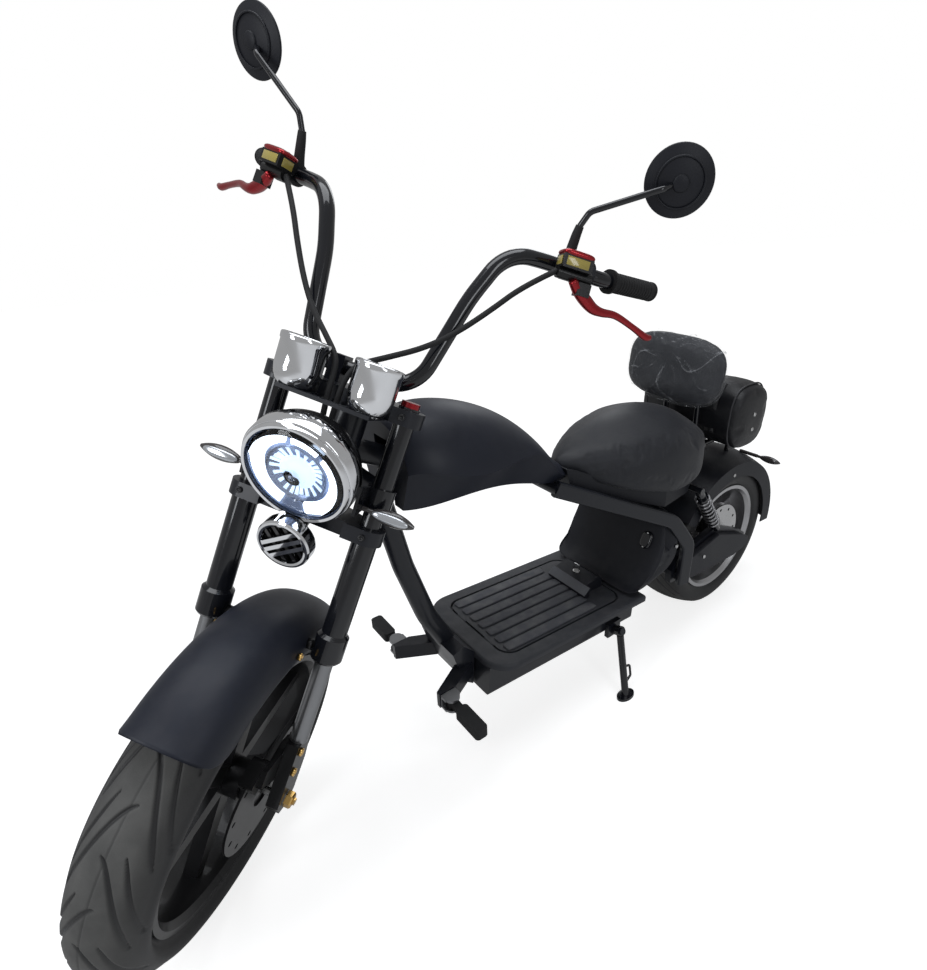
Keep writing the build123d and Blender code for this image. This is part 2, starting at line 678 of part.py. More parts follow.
def handlebar():
    """High bar, grips, switch housings, brake masters, reservoirs, levers and mirrors."""
    left = [bar_point(corner, 1) for corner in BAR_CORNERS] + [bar_point(BAR_END, 1)]
    right = [bar_point(corner, -1) for corner in BAR_CORNERS] + [bar_point(BAR_END, -1)]
    bends = list(reversed(BAR_BENDS)) + BAR_BENDS
    bar = tube(list(reversed(right)) + left, bends, BAR_RADIUS)
    parts = {
        "handlebar": bar, "grips": [], "switch_housings": [], "brake_masters": [],
        "reservoir_caps": [], "brake_levers": [], "mirror_stems": [], "mirrors": [],
    }
    for side in SIDES:
        tip = bar_point(BAR_END, side)
        inwards = (bar_point(BAR_CORNERS[-1], side) - tip).normalized()
        parts["handlebar"] -= rod(tip - inwards, tip + inwards * BAR_BORE_DEPTH, BAR_BORE)
    last_run = len(BAR_CORNERS) - 1
    end_length = (bar_point(BAR_END, 1) - bar_point(BAR_CORNERS[-1], 1)).length
    sleeve = BAR_RADIUS + 0.1
    for side in SIDES:
        forward = -side
        grip_end = bar_station(last_run, end_length - GRIP_LENGTH / 2, side)
        turn = Rot(0, 90, 0)
        grip = turn * (
            ring(GRIP_RADIUS, sleeve, GRIP_LENGTH)
            + Pos(0, 0, -GRIP_LENGTH / 2 + 3) * ring(GRIP_RADIUS + 4, sleeve, 6)
            + Pos(0, 0, GRIP_LENGTH / 2 + 2) * ring(GRIP_RADIUS + 1, BAR_BORE + 2, 4)
        )
        parts["grips"].append(grip_end * grip)
        housing = turn * ring(GRIP_RADIUS + 4, sleeve, 24)
        parts["switch_housings"].append(bar_station(CONTROL_RUN, SWITCH_ALONG, side) * housing)
        station = bar_station(CONTROL_RUN, CLAMP_ALONG, side)
        block = turn * ring(BAR_RADIUS + 6, sleeve, 20)
        reach = Pos(-4, forward * 24, 0) * Box(24, 22, 14)
        master = Pos(0, forward * 34, -14) * turn * Cylinder(10, 58)
        pot = Pos(-4, forward * 38, 2) * Box(50, 34, 20)
        ear = Pos(18, forward * 38, -32) * Box(22, 20, 20)
        body = block + reach + master + pot + ear
        body -= turn * Cylinder(sleeve, 90)
        parts["brake_masters"].append(station * body)
        cap = Pos(-4, forward * 38, 12 + SEAT + 3) * Box(52, 36, 6)
        parts["reservoir_caps"].append(station * cap)
        lever = tube([
            placed(station, (16, forward * 38, -36)), fork_point(934, side * 312, -118),
            fork_point(930, side * 366, -150), fork_point(942, side * 418, -188),
        ], [40, 60], 5.5)
        parts["brake_levers"].append(lever - station * body)
        mirror = mirror_shell(side)
        stem = tube([
            placed(station, (-4, 0, BAR_RADIUS + 3)), fork_point(1045, side * 241, -105),
            fork_point(1070, side * 250, -96), fork_point(1133, side * 343, -91),
            fork_point(MIRROR_UP - 5, side * (MIRROR_SIDE - 2), MIRROR_AHEAD + 4),
        ], [30, 18, 12], 5)
        parts["mirror_stems"].append(stem - station * body - mirror)
        parts["mirrors"].append(mirror)
    return parts


def brake_hoses(parts):
    """A hose from each master to the headlight bucket, and one down to the front caliper."""
    hoses = []
    for side in SIDES:
        station = bar_station(CONTROL_RUN, CLAMP_ALONG, side)
        start = placed(station, (-29 - SEAT, -side * 34, -14))
        route = [start] + [
            fork_point(up, side * across_bar, ahead) for up, across_bar, ahead in HOSE_ROUTE
        ]
        master = parts["brake_masters"][SIDES.index(side)]
        hoses.append(cord(route, HOSE_RADIUS) - parts["headlight_bucket"] - master)
    drop = [fork_point(*place) for place in CALIPER_HOSE_ROUTE]
    hoses.append(cord(drop, HOSE_RADIUS) - parts["front_caliper"] - parts["lower_clamp"])
    return hoses


# Chassis, in the upright bike

NOSE_START = DECK_LENGTH / 2 + SEAT
HEAD_LOW = LOWER_CLAMP + CLAMP_THICKNESS / 2 + HEAD_GAP
HEAD_HIGH = UPPER_CLAMP - CLAMP_THICKNESS / 2 - HEAD_GAP
BACKBONE = [head_point(590), (960, 0, 728), (800, 0, 696), (628, 0, 594)]
DOWN_TUBE = [head_point(560), (1032, 0, 690), (998, 0, 520), (956, 0, 378), (915, 0, 294)]


def front_frame():
    """Head tube, backbone, curved down tube, and the nose plate that holds the foot pegs."""
    frame = tube(BACKBONE, [120, 120], BACKBONE_RADIUS)
    frame += tube(DOWN_TUBE, [50, 220, 220], DOWN_TUBE_RADIUS)
    frame += rod(head_point(HEAD_LOW), head_point(HEAD_HIGH), HEAD_TUBE_RADIUS)
    frame -= rod(head_point(HEAD_LOW - 1), head_point(HEAD_HIGH + 1), HEAD_TUBE_BORE)
    nose = DECK_PLACE * slab([
        (NOSE_START, -88), (NOSE_START, 0), (268, 26), (296, 16), (276, -40), (262, -72),
    ], -62, 62)
    frame += nose
    frame -= cross_bar(CROSS_BAR_RADIUS + SEAT)
    peg_x, peg_y, peg_z = PEG_PIVOT
    for side in SIDES:
        arm = make_face(Polyline(
            (888, side * 40), (888, side * 62), (peg_x - 22, side * (peg_y - 16)),
            (peg_x + 20, side * (peg_y - 16)), (peg_x + 20, side * (peg_y - 26)),
            (915, side * 40), close=True,
        ))
        frame += Pos(0, 0, peg_z - 18) * extrude(Plane.XY * arm, 36)
    return frame


RAIL_FRONT = (640.0, 55.0)
RAIL_REAR = (310.0, 140.0)
RAIL_TURN = math.degrees(math.atan2(RAIL_REAR[1] - RAIL_FRONT[1], RAIL_FRONT[0] - RAIL_REAR[0]))
RAIL_RUN = (RAIL_FRONT[0] - PIVOT_AHEAD) / math.cos(math.radians(RAIL_TURN))
RAIL_ROUTE = [(-6, 591), (330, 428), (RAIL_RUN, 345), (RAIL_RUN, 224)]
SHOCK_TOP = (212.0, 474.0)
SHOCK_LOW = (98.0, 320.0)
SHOCK_SIDE = 131.0
SHOCK_COIL_RADIUS = 13.0
SHOCK_WIRE_RADIUS = 3.6
PIVOT_TUBE = 14.0
CROSS_BAR_RADIUS = 12.0


def cross_bar(radius):
    """The bar between the front ends of the seat rails, which the backbone is notched on."""
    return rod((RAIL_FRONT[0], -58, 586), (RAIL_FRONT[0], 58, 586), radius)


def seat_rails():
    """The two flat rails under the seat, and the cross tubes between them."""
    rails = None
    for side in SIDES:
        turn = 180 - side * RAIL_TURN
        plane = Plane(
            origin=(RAIL_FRONT[0], side * RAIL_FRONT[1], 0),
            x_dir=(math.cos(math.radians(turn)), math.sin(math.radians(turn)), 0),
            z_dir=(math.sin(math.radians(turn)), -math.cos(math.radians(turn)), 0),
        )
        path = plane * FilletPolyline(*[(run, up, 0) for run, up in RAIL_ROUTE], radius=[70, 50])
        section = Plane(origin=path @ 0, x_dir=plane.z_dir, z_dir=path % 0) * RectangleRounded(
            RAIL_THICKNESS, RAIL_HEIGHT, 5
        )
        rail = sweep(section, path=path)
        rails = rail if rails is None else rails + rail
    rails += cross_bar(CROSS_BAR_RADIUS)
    reach = RAIL_FRONT[1] + RAIL_RUN * math.sin(math.radians(RAIL_TURN)) - 4
    rails += rod((PIVOT_AHEAD, -reach, PIVOT_UP), (PIVOT_AHEAD, reach, PIVOT_UP), PIVOT_TUBE)
    tray_rear = 4 - SEAT - DECK_LENGTH / 2
    for side in SIDES:
        low, high = across(side, 62, 72)
        rails += DECK_PLACE * slab([
            (tray_rear, -24), (tray_rear, -82), (tray_rear - 20, -82), (tray_rear - 148, -6),
            (tray_rear - 142, 14), (tray_rear - 120, 12),
        ], low, high)
    return rails


def deck():
    """Hollow battery tray, footboard border, lid with ribs, its lock and the battery."""
    half = DECK_LENGTH / 2
    lid_middle = 6.0
    hole_length = LID_LENGTH + 2 * LID_GAP
    hole_half = LID_HALF_WIDTH + LID_GAP
    board = Pos(0, 0, -DECK_THICKNESS) * extrude(
        RectangleRounded(DECK_LENGTH, 2 * DECK_HALF_WIDTH, DECK_CORNER), DECK_THICKNESS
    )
    board += Pos(-half / 2, 0, -DECK_THICKNESS) * extrude(
        RectangleRounded(half, 2 * DECK_HALF_WIDTH, 8), DECK_THICKNESS
    )
    edge = board.faces().sort_by(Axis.Z)[-1].outer_wire().edges()
    board = fillet(edge, 6)
    hole = Pos(lid_middle, 0, -LID_THICKNESS - 1) * extrude(
        RectangleRounded(hole_length, 2 * hole_half, 36), 40
    )
    inner = Pos(lid_middle, 0, -60) * extrude(
        RectangleRounded(hole_length - 24, 2 * hole_half - 24, 26), 80
    )
    board = board - hole - inner
    lid = Pos(lid_middle, 0, -LID_THICKNESS) * extrude(
        RectangleRounded(LID_LENGTH, 2 * LID_HALF_WIDTH, 32), LID_THICKNESS
    )
    hinge_ahead = lid_middle + LID_LENGTH / 2 + 0.5
    for side in SIDES:
        lid += Pos(hinge_ahead, side * 52, -LID_THICKNESS / 2) * drum(LID_THICKNESS / 2, 16)
    pitch = 2 * (LID_HALF_WIDTH - 16) / (RIB_COUNT - 1)
    lock_start = lid_middle - LID_LENGTH / 2 + 86
    rib_length = lid_middle + LID_LENGTH / 2 - 20 - lock_start
    for i in range(RIB_COUNT):
        place = Pos(lock_start + rib_length / 2, (i - (RIB_COUNT - 1) / 2) * pitch, 0)
        lid += place * extrude(RectangleRounded(rib_length, RIB_WIDTH, 4), RIB_HEIGHT)
    depth = TRAY_DEPTH
    tray_half = half - 4
    outer = Pos(0, 0, -DECK_THICKNESS - depth - SEAT) * Box(
        2 * tray_half, 2 * TRAY_HALF_WIDTH, depth, align=(Align.CENTER, Align.CENTER, Align.MIN)
    )
    outer = fillet(outer.edges().filter_by(Axis.X).sort_by(Axis.Z)[:2], 10)
    hollow = Pos(0, 0, -DECK_THICKNESS - depth - SEAT + TRAY_WALL) * Box(
        2 * tray_half - 2 * TRAY_WALL, 2 * TRAY_HALF_WIDTH - 2 * TRAY_WALL, depth,
        align=(Align.CENTER, Align.CENTER, Align.MIN),
    )
    hollow = fillet(hollow.edges().filter_by(Axis.X).sort_by(Axis.Z)[:2], 7)
    tray = outer - hollow
    battery = Pos(0, 0, -DECK_THICKNESS - depth - SEAT + TRAY_WALL + SEAT) * Box(
        2 * tray_half - 60, 2 * TRAY_HALF_WIDTH - 30, BATTERY_HEIGHT,
        align=(Align.CENTER, Align.CENTER, Align.MIN),
    )
    lock = slab([
        (lid_middle - LID_LENGTH / 2 + 6, SEAT), (lid_middle - LID_LENGTH / 2 + 70, SEAT),
        (lid_middle - LID_LENGTH / 2 + 62, 24), (lid_middle - LID_LENGTH / 2 + 22, 34),
        (lid_middle - LID_LENGTH / 2 + 6, 26),
    ], -62, 50)
    handle = slab([
        (lid_middle - LID_LENGTH / 2 + 70, SEAT), (lid_middle - LID_LENGTH / 2 + 84, SEAT),
        (lid_middle - LID_LENGTH / 2 + 84, 8), (lid_middle - LID_LENGTH / 2 + 68, 25),
        (lid_middle - LID_LENGTH / 2 + 62, 24.5),
    ], -64, 66)
    return {
        "footboard": DECK_PLACE * board,
        "battery_lid": DECK_PLACE * lid,
        "deck_tray": DECK_PLACE * tray,
        "battery": DECK_PLACE * battery,
        "lid_lock": DECK_PLACE * (lock + handle),
    }, placed(DECK_PLACE, (hinge_ahead, 0, -LID_THICKNESS / 2))


# Body sections: ahead, bottom half width, bottom, widest half width, its height, top
TANK_STATIONS = [
    (1014, 54, 670, 84, 748, 820),
    (940, 78, 672, 118, 738, 838),
    (850, 78, 668, 120, 722, 820),
    (750, 62, 641, 100, 716, 768),
    (670, 45, 609, 70, 662, 694),
    (600, 26, 590, 38, 606, 626),
]
SEAT_STATIONS = [
    (598, 30, 604, 42, 618, 642),
    (530, 58, 580, 82, 606, 643),
    (440, 100, 546, 126, 590, 677),
    (330, 126, 514, 148, 572, 696),
    (230, 122, 522, 142, 578, 673),
    (158, 84, 556, 112, 592, 641),
]


def tank():
    """Solid body shell with a channel below for the backbone and down tube."""
    shell = loft([domed(station) for station in TANK_STATIONS])
    channel = slab([
        (1060, 600), (1060, 814), (1000, 784), (960, 760), (800, 726), (640, 640), (590, 596),
        (590, 540), (900, 540),
    ], -26, 26)
    return shell - channel


def seat_parts():
    """Seat, and the base that carries it between the rails."""
    seat = loft([domed(station) for station in SEAT_STATIONS])
    base = slab([
        (606, 622), (596, 580), (465, 516), (330, 462), (236, 470), (160, 534), (160, 556),
        (240, 540), (330, 530), (440, 560), (530, 600),
    ], -130, 130)
    plan = extrude(Plane.XY * make_face(Polyline(
        (620, -40), (620, 40), (590, 50), (330, 116), (236, 112), (150, 86),
        (150, -86), (236, -112), (330, -116), (590, -50), close=True,
    )), 900)
    base = base & plan
    return seat, base - seat


def shroud():
    """The cover between the deck and the seat: its sloping front is the riser."""
    cover = slab([
        (PIVOT_AHEAD + 30, 262), (PIVOT_AHEAD + 30, 446), (306, 446), (330, 396), (356, 346),
        (380, 300), (398, 274), (398, 196), (352, 212), (312, 240),
    ], -160, 160)
    taper = extrude(Plane.YZ * make_face(Polyline(
        (-114, 180), (114, 180), (114, 248), (146, 264), (146, 290), (124, 450),
        (-124, 450), (-146, 290), (-146, 264), (-114, 248), close=True,
    )), 500)
    return cover & taper


def rear_end():
    """Swingarm with its covers, axle, brake caliper, shock absorbers, mudguard and rack."""
    height = REAR_RADIUS
    outline = [
        (288, 224), (290, 262), (262, 296), (112, 322), (84, 322), (-30, 268), (-62, 246),
        (-68, 226), (-50, 204), (10, 196), (180, 206),
    ]
    pivot = rod((PIVOT_AHEAD, -200, PIVOT_UP), (PIVOT_AHEAD, 200, PIVOT_UP), PIVOT_TUBE + SEAT)
    arms = []
    covers = []
    shocks = []
    arm_outside = ARM_INSIDE + ARM_THICKNESS
    for side in SIDES:
        low, high = across(side, ARM_INSIDE, arm_outside)
        arm = slab(outline, low, high) - pivot
        arm -= Pos(0, 0, height) * drum(AXLE_RADIUS + 1 + SEAT, 200)
        arms.append(arm)
        low, high = across(side, arm_outside + SEAT, arm_outside + SEAT + COVER_THICKNESS)
        cover = slab([
            (238, 222), (240, 284), (108, 312), (-28, 260), (-58, 242), (-62, 226), (-46, 210),
            (10, 202), (180, 212),
        ], low, high)
        covers.append(fillet(cover.edges().filter_by(Axis.Y, reverse=True), 3))
        top = (SHOCK_TOP[0], side * SHOCK_SIDE, SHOCK_TOP[1])
        foot = (SHOCK_LOW[0], side * SHOCK_SIDE, SHOCK_LOW[1])
        shock = rod(foot, top, SHOCK_COIL_RADIUS - SHOCK_WIRE_RADIUS / 2)
        run = Vector(*top) - Vector(*foot)
        for i in range(7):
            coil = Vector(*foot) + run * (0.22 + 0.1 * i)
            turn = Plane(origin=coil, z_dir=run) * Circle(SHOCK_COIL_RADIUS + SHOCK_WIRE_RADIUS)
            shock += extrude(turn, SHOCK_WIRE_RADIUS, both=True)
        shocks.append(shock - arm)
    axle = Pos(0, 0, height) * drum(AXLE_RADIUS + 1, arm_outside)
    angle = math.radians(50)
    reach = REAR_DISC_RADIUS - 12
    foot = rod(
        (reach * math.sin(angle), REAR_DISC_SIDE + 8, reach * math.cos(angle)),
        (reach * math.sin(angle), ARM_INSIDE - SEAT, reach * math.cos(angle)), 10,
    )
    brake = Pos(0, 0, height) * caliper(reach, REAR_DISC_SIDE, 50, 24, foot)
    return arms, covers, shocks, axle, brake


REAR_FENDER_CROWN = 262.0
RACK_TOP = 552.0
RACK_BAR = 7.0
RACK_SIDE = 48.0
BACKREST_PLACE = Location((195, 0, 764), (0, -8, 0))


def rear_body():
    """Rear mudguard, rack with the backrest bracket, bag, backrest, tail lamp and signals."""
    fender = Pos(0, 0, REAR_RADIUS) * arched_fender(
        REAR_FENDER_CROWN, 242, 200, 112, 3, -94, 94 + 58,
    )
    shock_bar = rod((SHOCK_TOP[0], -142, SHOCK_TOP[1]), (SHOCK_TOP[0], 142, SHOCK_TOP[1]), 9)
    rack = shock_bar
    for side in SIDES:
        y = side * RACK_SIDE
        level = RACK_TOP - RACK_BAR
        rack += rod((158, y, level), (-56, y, level), RACK_BAR)
        strut = rod((-36, y, level), (-36, y, REAR_RADIUS + 235), 6)
        rack += strut - fender
        rack += tube([
            (SHOCK_TOP[0], y, SHOCK_TOP[1]), (138, y, 558),
            placed(BACKREST_PLACE, (-38, y, 50)),
        ], [30], 7)
    rack += rod((-56, -62, RACK_TOP - RACK_BAR), (-56, 62, RACK_TOP - RACK_BAR), RACK_BAR)
    rack += rod((20, -60, RACK_TOP - RACK_BAR), (20, 60, RACK_TOP - RACK_BAR), 5)
    rack += rod((100, -60, RACK_TOP - RACK_BAR), (100, 60, RACK_TOP - RACK_BAR), 5)
    back = -BACKREST_THICKNESS / 2
    rack += BACKREST_PLACE * Pos(back - SEAT - 2.5, 0, 20) * Box(5, 130, 70)
    rack += BACKREST_PLACE * Pos(back - 8, 0, 20) * Box(12, 100, 20)
    pad = extrude(
        Plane.YZ * RectangleRounded(2 * BACKREST_HALF_WIDTH, BACKREST_HEIGHT, 72),
        BACKREST_THICKNESS / 2, both=True,
    )
    pad = fillet(pad.edges().filter_by(GeomType.LINE).filter_by(Axis.X, reverse=True), 18)
    bag = extrude(
        Plane.XZ * Pos(45, RACK_TOP + SEAT + BAG_HEIGHT / 2) * RectangleRounded(
            BAG_DEPTH, BAG_HEIGHT, 58
        ), BAG_HALF_LENGTH, both=True,
    )
    lamp = Pos(-74, 0, RACK_TOP - 16) * Box(22, 76, 36)
    lamp = fillet(lamp.edges().filter_by(Axis.X), 8) - rack
    signals = []
    for side in SIDES:
        turn = 0 if side > 0 else 180
        arm = Location((-96, side * 104, 476), (0, 0, turn)) * signal(58, 8, 10)
        arm += rod((-96, side * 58, 476), (-96, side * 112, 476), 5)
        signals.append(arm - fender)
    return {
        "rear_fender": fender, "luggage_rack": rack, "rear_bag": bag,
        "backrest": BACKREST_PLACE * pad, "tail_lamp": lamp, "rear_signals": signals,
    }


def foot_pegs():
    """A bright clevis each side with a folding peg in it."""
    clevises = []
    pegs = []
    peg_x, peg_y, peg_z = PEG_PIVOT
    for side in SIDES:
        clevis = Pos(peg_x, side * (peg_y - 13), peg_z) * Box(36, 4, 32)
        for level in (-1, 1):
            plate = Pos(peg_x, side * (peg_y - 6), peg_z + level * 13.5) * Box(36, 18, 5)
            plate += Pos(peg_x, side * peg_y, peg_z + level * 13.5) * Cylinder(16, 5)
            clevis += plate
        clevis += Pos(peg_x, side * peg_y, peg_z) * Cylinder(4, 30)
        clevises.append(clevis)
        peg = Pos(0, 0, 0) * Cylinder(11, 20)
        peg += Pos(0, side * 20, 0) * Box(16, 34, 16)
        pad = Pos(0, side * (PEG_LENGTH - 38), 0) * Box(28, 76, 22)
        peg += fillet(pad.edges().filter_by(Axis.Z), 8)
        peg -= Cylinder(4.3, 40)
        pegs.append(Pos(peg_x, side * peg_y, peg_z) * peg)
    return clevises, pegs


# How it stands

def lowest(place, centre, spin, radius, crown):
    """Height of a tyre's lowest point once the bike is moved to a place."""
    middle = placed(place, centre)
    tip = placed(place, centre + spin)
    tilt = tip.Z - middle.Z
    return middle.Z - (radius - crown) * math.sqrt(1 - tilt * tilt) - crown


def parked_place():
    """Lean to the left, then pitch and lower until both tyres touch the floor."""
    rear = Vector(0, 0, REAR_RADIUS)
    front = placed(FORK_PLACE, (FORK_OFFSET, 0, 0))
    front_spin = placed(FORK_PLACE, (FORK_OFFSET, 1, 0)) - front
    front_crown = crown_radius(FRONT_RADIUS, FRONT_HALF_WIDTH, FRONT_DROP)
    rear_crown = crown_radius(REAR_RADIUS, REAR_HALF_WIDTH, REAR_DROP)
    pitch = 0.0
    for _ in range(12):
        place = Rot(0, pitch, 0) * Rot(-LEAN, 0, 0)
        rear_low = lowest(place, rear, Vector(0, 1, 0), REAR_RADIUS, rear_crown)
        front_low = lowest(place, front, front_spin, FRONT_RADIUS, front_crown)
        pitch += math.degrees((front_low - rear_low) / WHEELBASE)
    return Pos(0, 0, -rear_low) * place


def side_stand(park):
    """Leg with a flat foot on the floor, its hinge axis, and its bracket on the deck."""
    pivot = Vector(*STAND_PIVOT)
    floor_point = placed(park, (STAND_FOOT[0], STAND_FOOT[1], 20))
    pad_height = 7.0
    pad_place = park.inverse() * Pos(floor_point.X, floor_point.Y, 0)
    pad = extrude(Ellipse(26, 17), pad_height)
    ankle = placed(pad_place, (0, 0, pad_height - 2))
    down = (ankle - pivot).normalized()
    back = Vector(-1, 0, 0.05).normalized()
    axis = down.cross(back).normalized()
    eye = Plane(origin=pivot - axis * 6, z_dir=axis) * extrude(Circle(13), 12)
    eye -= rod(pivot - axis * 7, pivot + axis * 7, 5.3)
    shin = pivot + down * 12
    leg = rod(shin, ankle, STAND_RADIUS) + eye + pad_place * pad
    tab_from = pivot + down * 92
    tab_out = tab_from + Vector(-26, 0, -8)
    leg += tube([tab_from, tab_out, tab_out + down * 26, tab_from + down * 44], [5, 5], 3)
    leg -= rod(pivot - axis * 7, pivot + axis * 7, 5.3)
    bracket = Pos(pivot.X, TRAY_HALF_WIDTH + 6, pivot.Z - 4) * Box(44, 12, 40)
    bracket += rod(pivot - axis * 26, pivot - axis * 6.4, 12)
    bracket += rod(pivot - axis * 7, pivot + axis * 11, 5)
    bracket += rod(pivot + axis * 6.4, pivot + axis * 11, 9)
    return leg, bracket, pivot, axis


def build():
    """Every node in its parked place, by body, and the joints between the bodies."""
    park = parked_place()
    steered = {}
    steered.update(fork_legs())
    steered.update(clamps())
    steered.update(headlight())
    steered.update(horn())
    steered.update(fork_trim())
    steered.update(front_fender())
    steered.update(front_caliper())
    steered.update(handlebar())
    steered["brake_hoses"] = brake_hoses(steered)
    arms, covers, shocks, axle, rear_brake = rear_end()
    deck_parts, lid_hinge = deck()
    seat, base = seat_parts()
    clevises, pegs = foot_pegs()
    leg, bracket, stand_pivot, stand_axis = side_stand(park)
    tray = deck_parts["deck_tray"]
    chassis = {
        "frame": front_frame(), "seat_rails": seat_rails(), "deck_tray": tray + (bracket - tray),
        "footboard": deck_parts["footboard"], "battery": deck_parts["battery"],
        "shroud": shroud(), "seat_base": base, "tank": tank(), "seat": seat,
        "swingarm": arms, "swingarm_covers": covers, "rear_axle": axle,
        "rear_caliper": rear_brake, "peg_clevises": clevises,
    }
    chassis.update(rear_body())
    chassis["seat_base"] = base - chassis["tank"] - chassis["luggage_rack"]
    chassis["shroud"] = chassis["shroud"] - chassis["seat_rails"]
    chassis["shocks"] = [shock - chassis["luggage_rack"] for shock in shocks]
    rear = {
        name: Pos(0, 0, REAR_RADIUS) * shape for name, shape in rear_wheel().items()
    }
    front = {
        name: Pos(FORK_OFFSET, 0, 0) * shape for name, shape in front_wheel().items()
    }
    bodies = {
        "chassis": chassis,
        "fork": {name: at_fork(shape) for name, shape in steered.items()},
        "front_wheel": {name: at_fork(shape) for name, shape in front.items()},
        "rear_wheel": rear,
        "side_stand": {"side_stand": leg},
        "battery_cover": {
            "battery_lid": deck_parts["battery_lid"], "lid_lock": deck_parts["lid_lock"],
        },
        "left_peg": {"left_peg": pegs[0]},
        "right_peg": {"right_peg": pegs[1]},
    }
    solids = []
    for nodes in bodies.values():
        for name, shape in nodes.items():
            pieces = shape if isinstance(shape, list) else [shape]
            nodes[name] = Compound(children=[
                solid for piece in pieces for solid in (park * piece).solids()
            ])
            solids.append(nodes[name])
    boxes = [solid.bounding_box() for solid in solids]
    low = [min(box.min.X for box in boxes), min(box.min.Y for box in boxes)]
    high = [max(box.max.X for box in boxes), max(box.max.Y for box in boxes)]
    floor = min(box.min.Z for box in boxes)
    shift = Pos(-(low[0] + high[0]) / 2, -(low[1] + high[1]) / 2, -floor)
    final = shift * park
    for nodes in bodies.values():
        for name in nodes:
            nodes[name] = shift * nodes[name]
    head = Vector(*head_point(0))
    head_up = Vector(*head_point(1)) - head
    front_centre = placed(FORK_PLACE, (FORK_OFFSET, 0, 0))
    front_spin = placed(FORK_PLACE, (FORK_OFFSET, 1, 0)) - front_centre
    hinges = {
        "steering": (head, head_up),
        "front_spin": (front_centre, front_spin),
        "rear_spin": (Vector(0, 0, REAR_RADIUS), Vector(0, 1, 0)),
        "stand_fold": (stand_pivot, stand_axis),
        "lid_lift": (lid_hinge, Vector(0, 1, 0)),
        "left_peg_fold": (Vector(*PEG_PIVOT), Vector(0, 0, 1)),
        "right_peg_fold": (
            Vector(PEG_PIVOT[0], -PEG_PIVOT[1], PEG_PIVOT[2]), Vector(0, 0, -1)
        ),
    }
    joints = {}
    for name, (point, direction) in hinges.items():
        start = placed(final, point)
        end = placed(final, point + direction)
        joints[name] = (start, end - start)
    return bodies, joints, final


def at_fork(shape):
    """A fork shape, or a list of them, in the upright bike."""
    if isinstance(shape, list):
        return [FORK_PLACE * piece for piece in shape]
    return FORK_PLACE * shape


BODIES, JOINTS, FINAL = build()
os.makedirs("parts", exist_ok=True)
for body_nodes in BODIES.values():
    for node_name, node_shape in body_nodes.items():
        export_step(node_shape, "parts/" + node_name + ".step")
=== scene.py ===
import json
import math

import bpy
import numpy as np
from mathutils import Matrix, Vector


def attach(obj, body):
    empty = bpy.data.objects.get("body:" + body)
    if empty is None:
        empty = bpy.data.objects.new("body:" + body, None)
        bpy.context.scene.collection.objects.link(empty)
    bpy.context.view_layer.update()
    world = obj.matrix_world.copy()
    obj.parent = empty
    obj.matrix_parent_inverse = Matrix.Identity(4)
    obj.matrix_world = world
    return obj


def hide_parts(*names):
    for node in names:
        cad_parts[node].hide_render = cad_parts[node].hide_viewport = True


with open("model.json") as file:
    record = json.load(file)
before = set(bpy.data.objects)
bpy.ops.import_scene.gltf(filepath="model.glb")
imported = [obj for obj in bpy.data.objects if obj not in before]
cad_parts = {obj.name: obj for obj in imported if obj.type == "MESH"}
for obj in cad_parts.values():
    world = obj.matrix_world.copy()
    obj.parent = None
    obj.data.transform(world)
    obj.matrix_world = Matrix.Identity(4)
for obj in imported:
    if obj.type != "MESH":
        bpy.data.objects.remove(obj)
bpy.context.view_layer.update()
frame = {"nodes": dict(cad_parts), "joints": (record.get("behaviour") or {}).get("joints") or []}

bl_info = {
    "name": "Chopper scooter looks",
    "version": (1, 0, 0),
    "blender": (4, 5, 0),
    "location": "View3D > Sidebar > Scooter",
    "description": "Dresses the packed chopper scooter: tyres, seat, bag, lamp, trim, materials and stage",
    "category": "Object",
}

NODES = frame["nodes"]
JOINTS = {joint["name"]: joint for joint in frame["joints"]}
SIDES = (1, -1)

# Driving sizes, in metres
RAKE = math.radians(26.9)
REAR_RADIUS = 0.234
FRONT_RADIUS = 0.292
GROOVE_LEAN = 1.1
GUARD_HALF_WIDTH = 0.0700
GUARD_SKIRT = 0.2570
GUARD_RISE = 0.0650
GUARD_SHEET = 0.0030
GUARD_CORNER = 0.050
BAG_MIDDLE = (0.045, 0.6365)
HOSE_THICKNESS = 0.009


# The frames of the leaning bike and of its turned fork, read from the joints

def unit(vector):
    """A vector brought to length one."""
    vector = np.array(vector, float)
    return vector / np.linalg.norm(vector)


def bike_axes():
    """Origin on the ground under the rear axle, and the bike's ahead, left and up."""
    left = unit(JOINTS["rear_spin"]["axis"])
    stem = unit(JOINTS["steering"]["axis"])
    normal = np.cross(left, stem)
    ahead = math.cos(RAKE) * normal - math.sin(RAKE) * stem
    up = np.cross(ahead, left)
    origin = np.array(JOINTS["rear_spin"]["pos_m"]) - REAR_RADIUS * up
    return origin, ahead, left, up


def fork_axes():
    """Front axle centre, and the fork's ahead, side and up-the-legs."""
    side = unit(JOINTS["front_spin"]["axis"])
    up = unit(JOINTS["steering"]["axis"])
    return np.array(JOINTS["front_spin"]["pos_m"]), np.cross(side, up), side, up


BIKE = bike_axes()
FORK = fork_axes()


def lay(axes, points):
    """Points given ahead, left and up in some axes, as points of the row frame."""
    origin, ahead, left, up = axes
    points = np.asarray(points, float)
    return origin + points[..., :1] * ahead + points[..., 1:2] * left + points[..., 2:3] * up


def bike(points):
    """Points of the upright bike, as (ahead, left, up) from the ground under the rear axle."""
    return lay(BIKE, points)


def fork(points):
    """Points of the fork, as (up, side, ahead) from the front axle."""
    points = np.asarray(points, float)
    return lay(FORK, points[..., [2, 1, 0]])


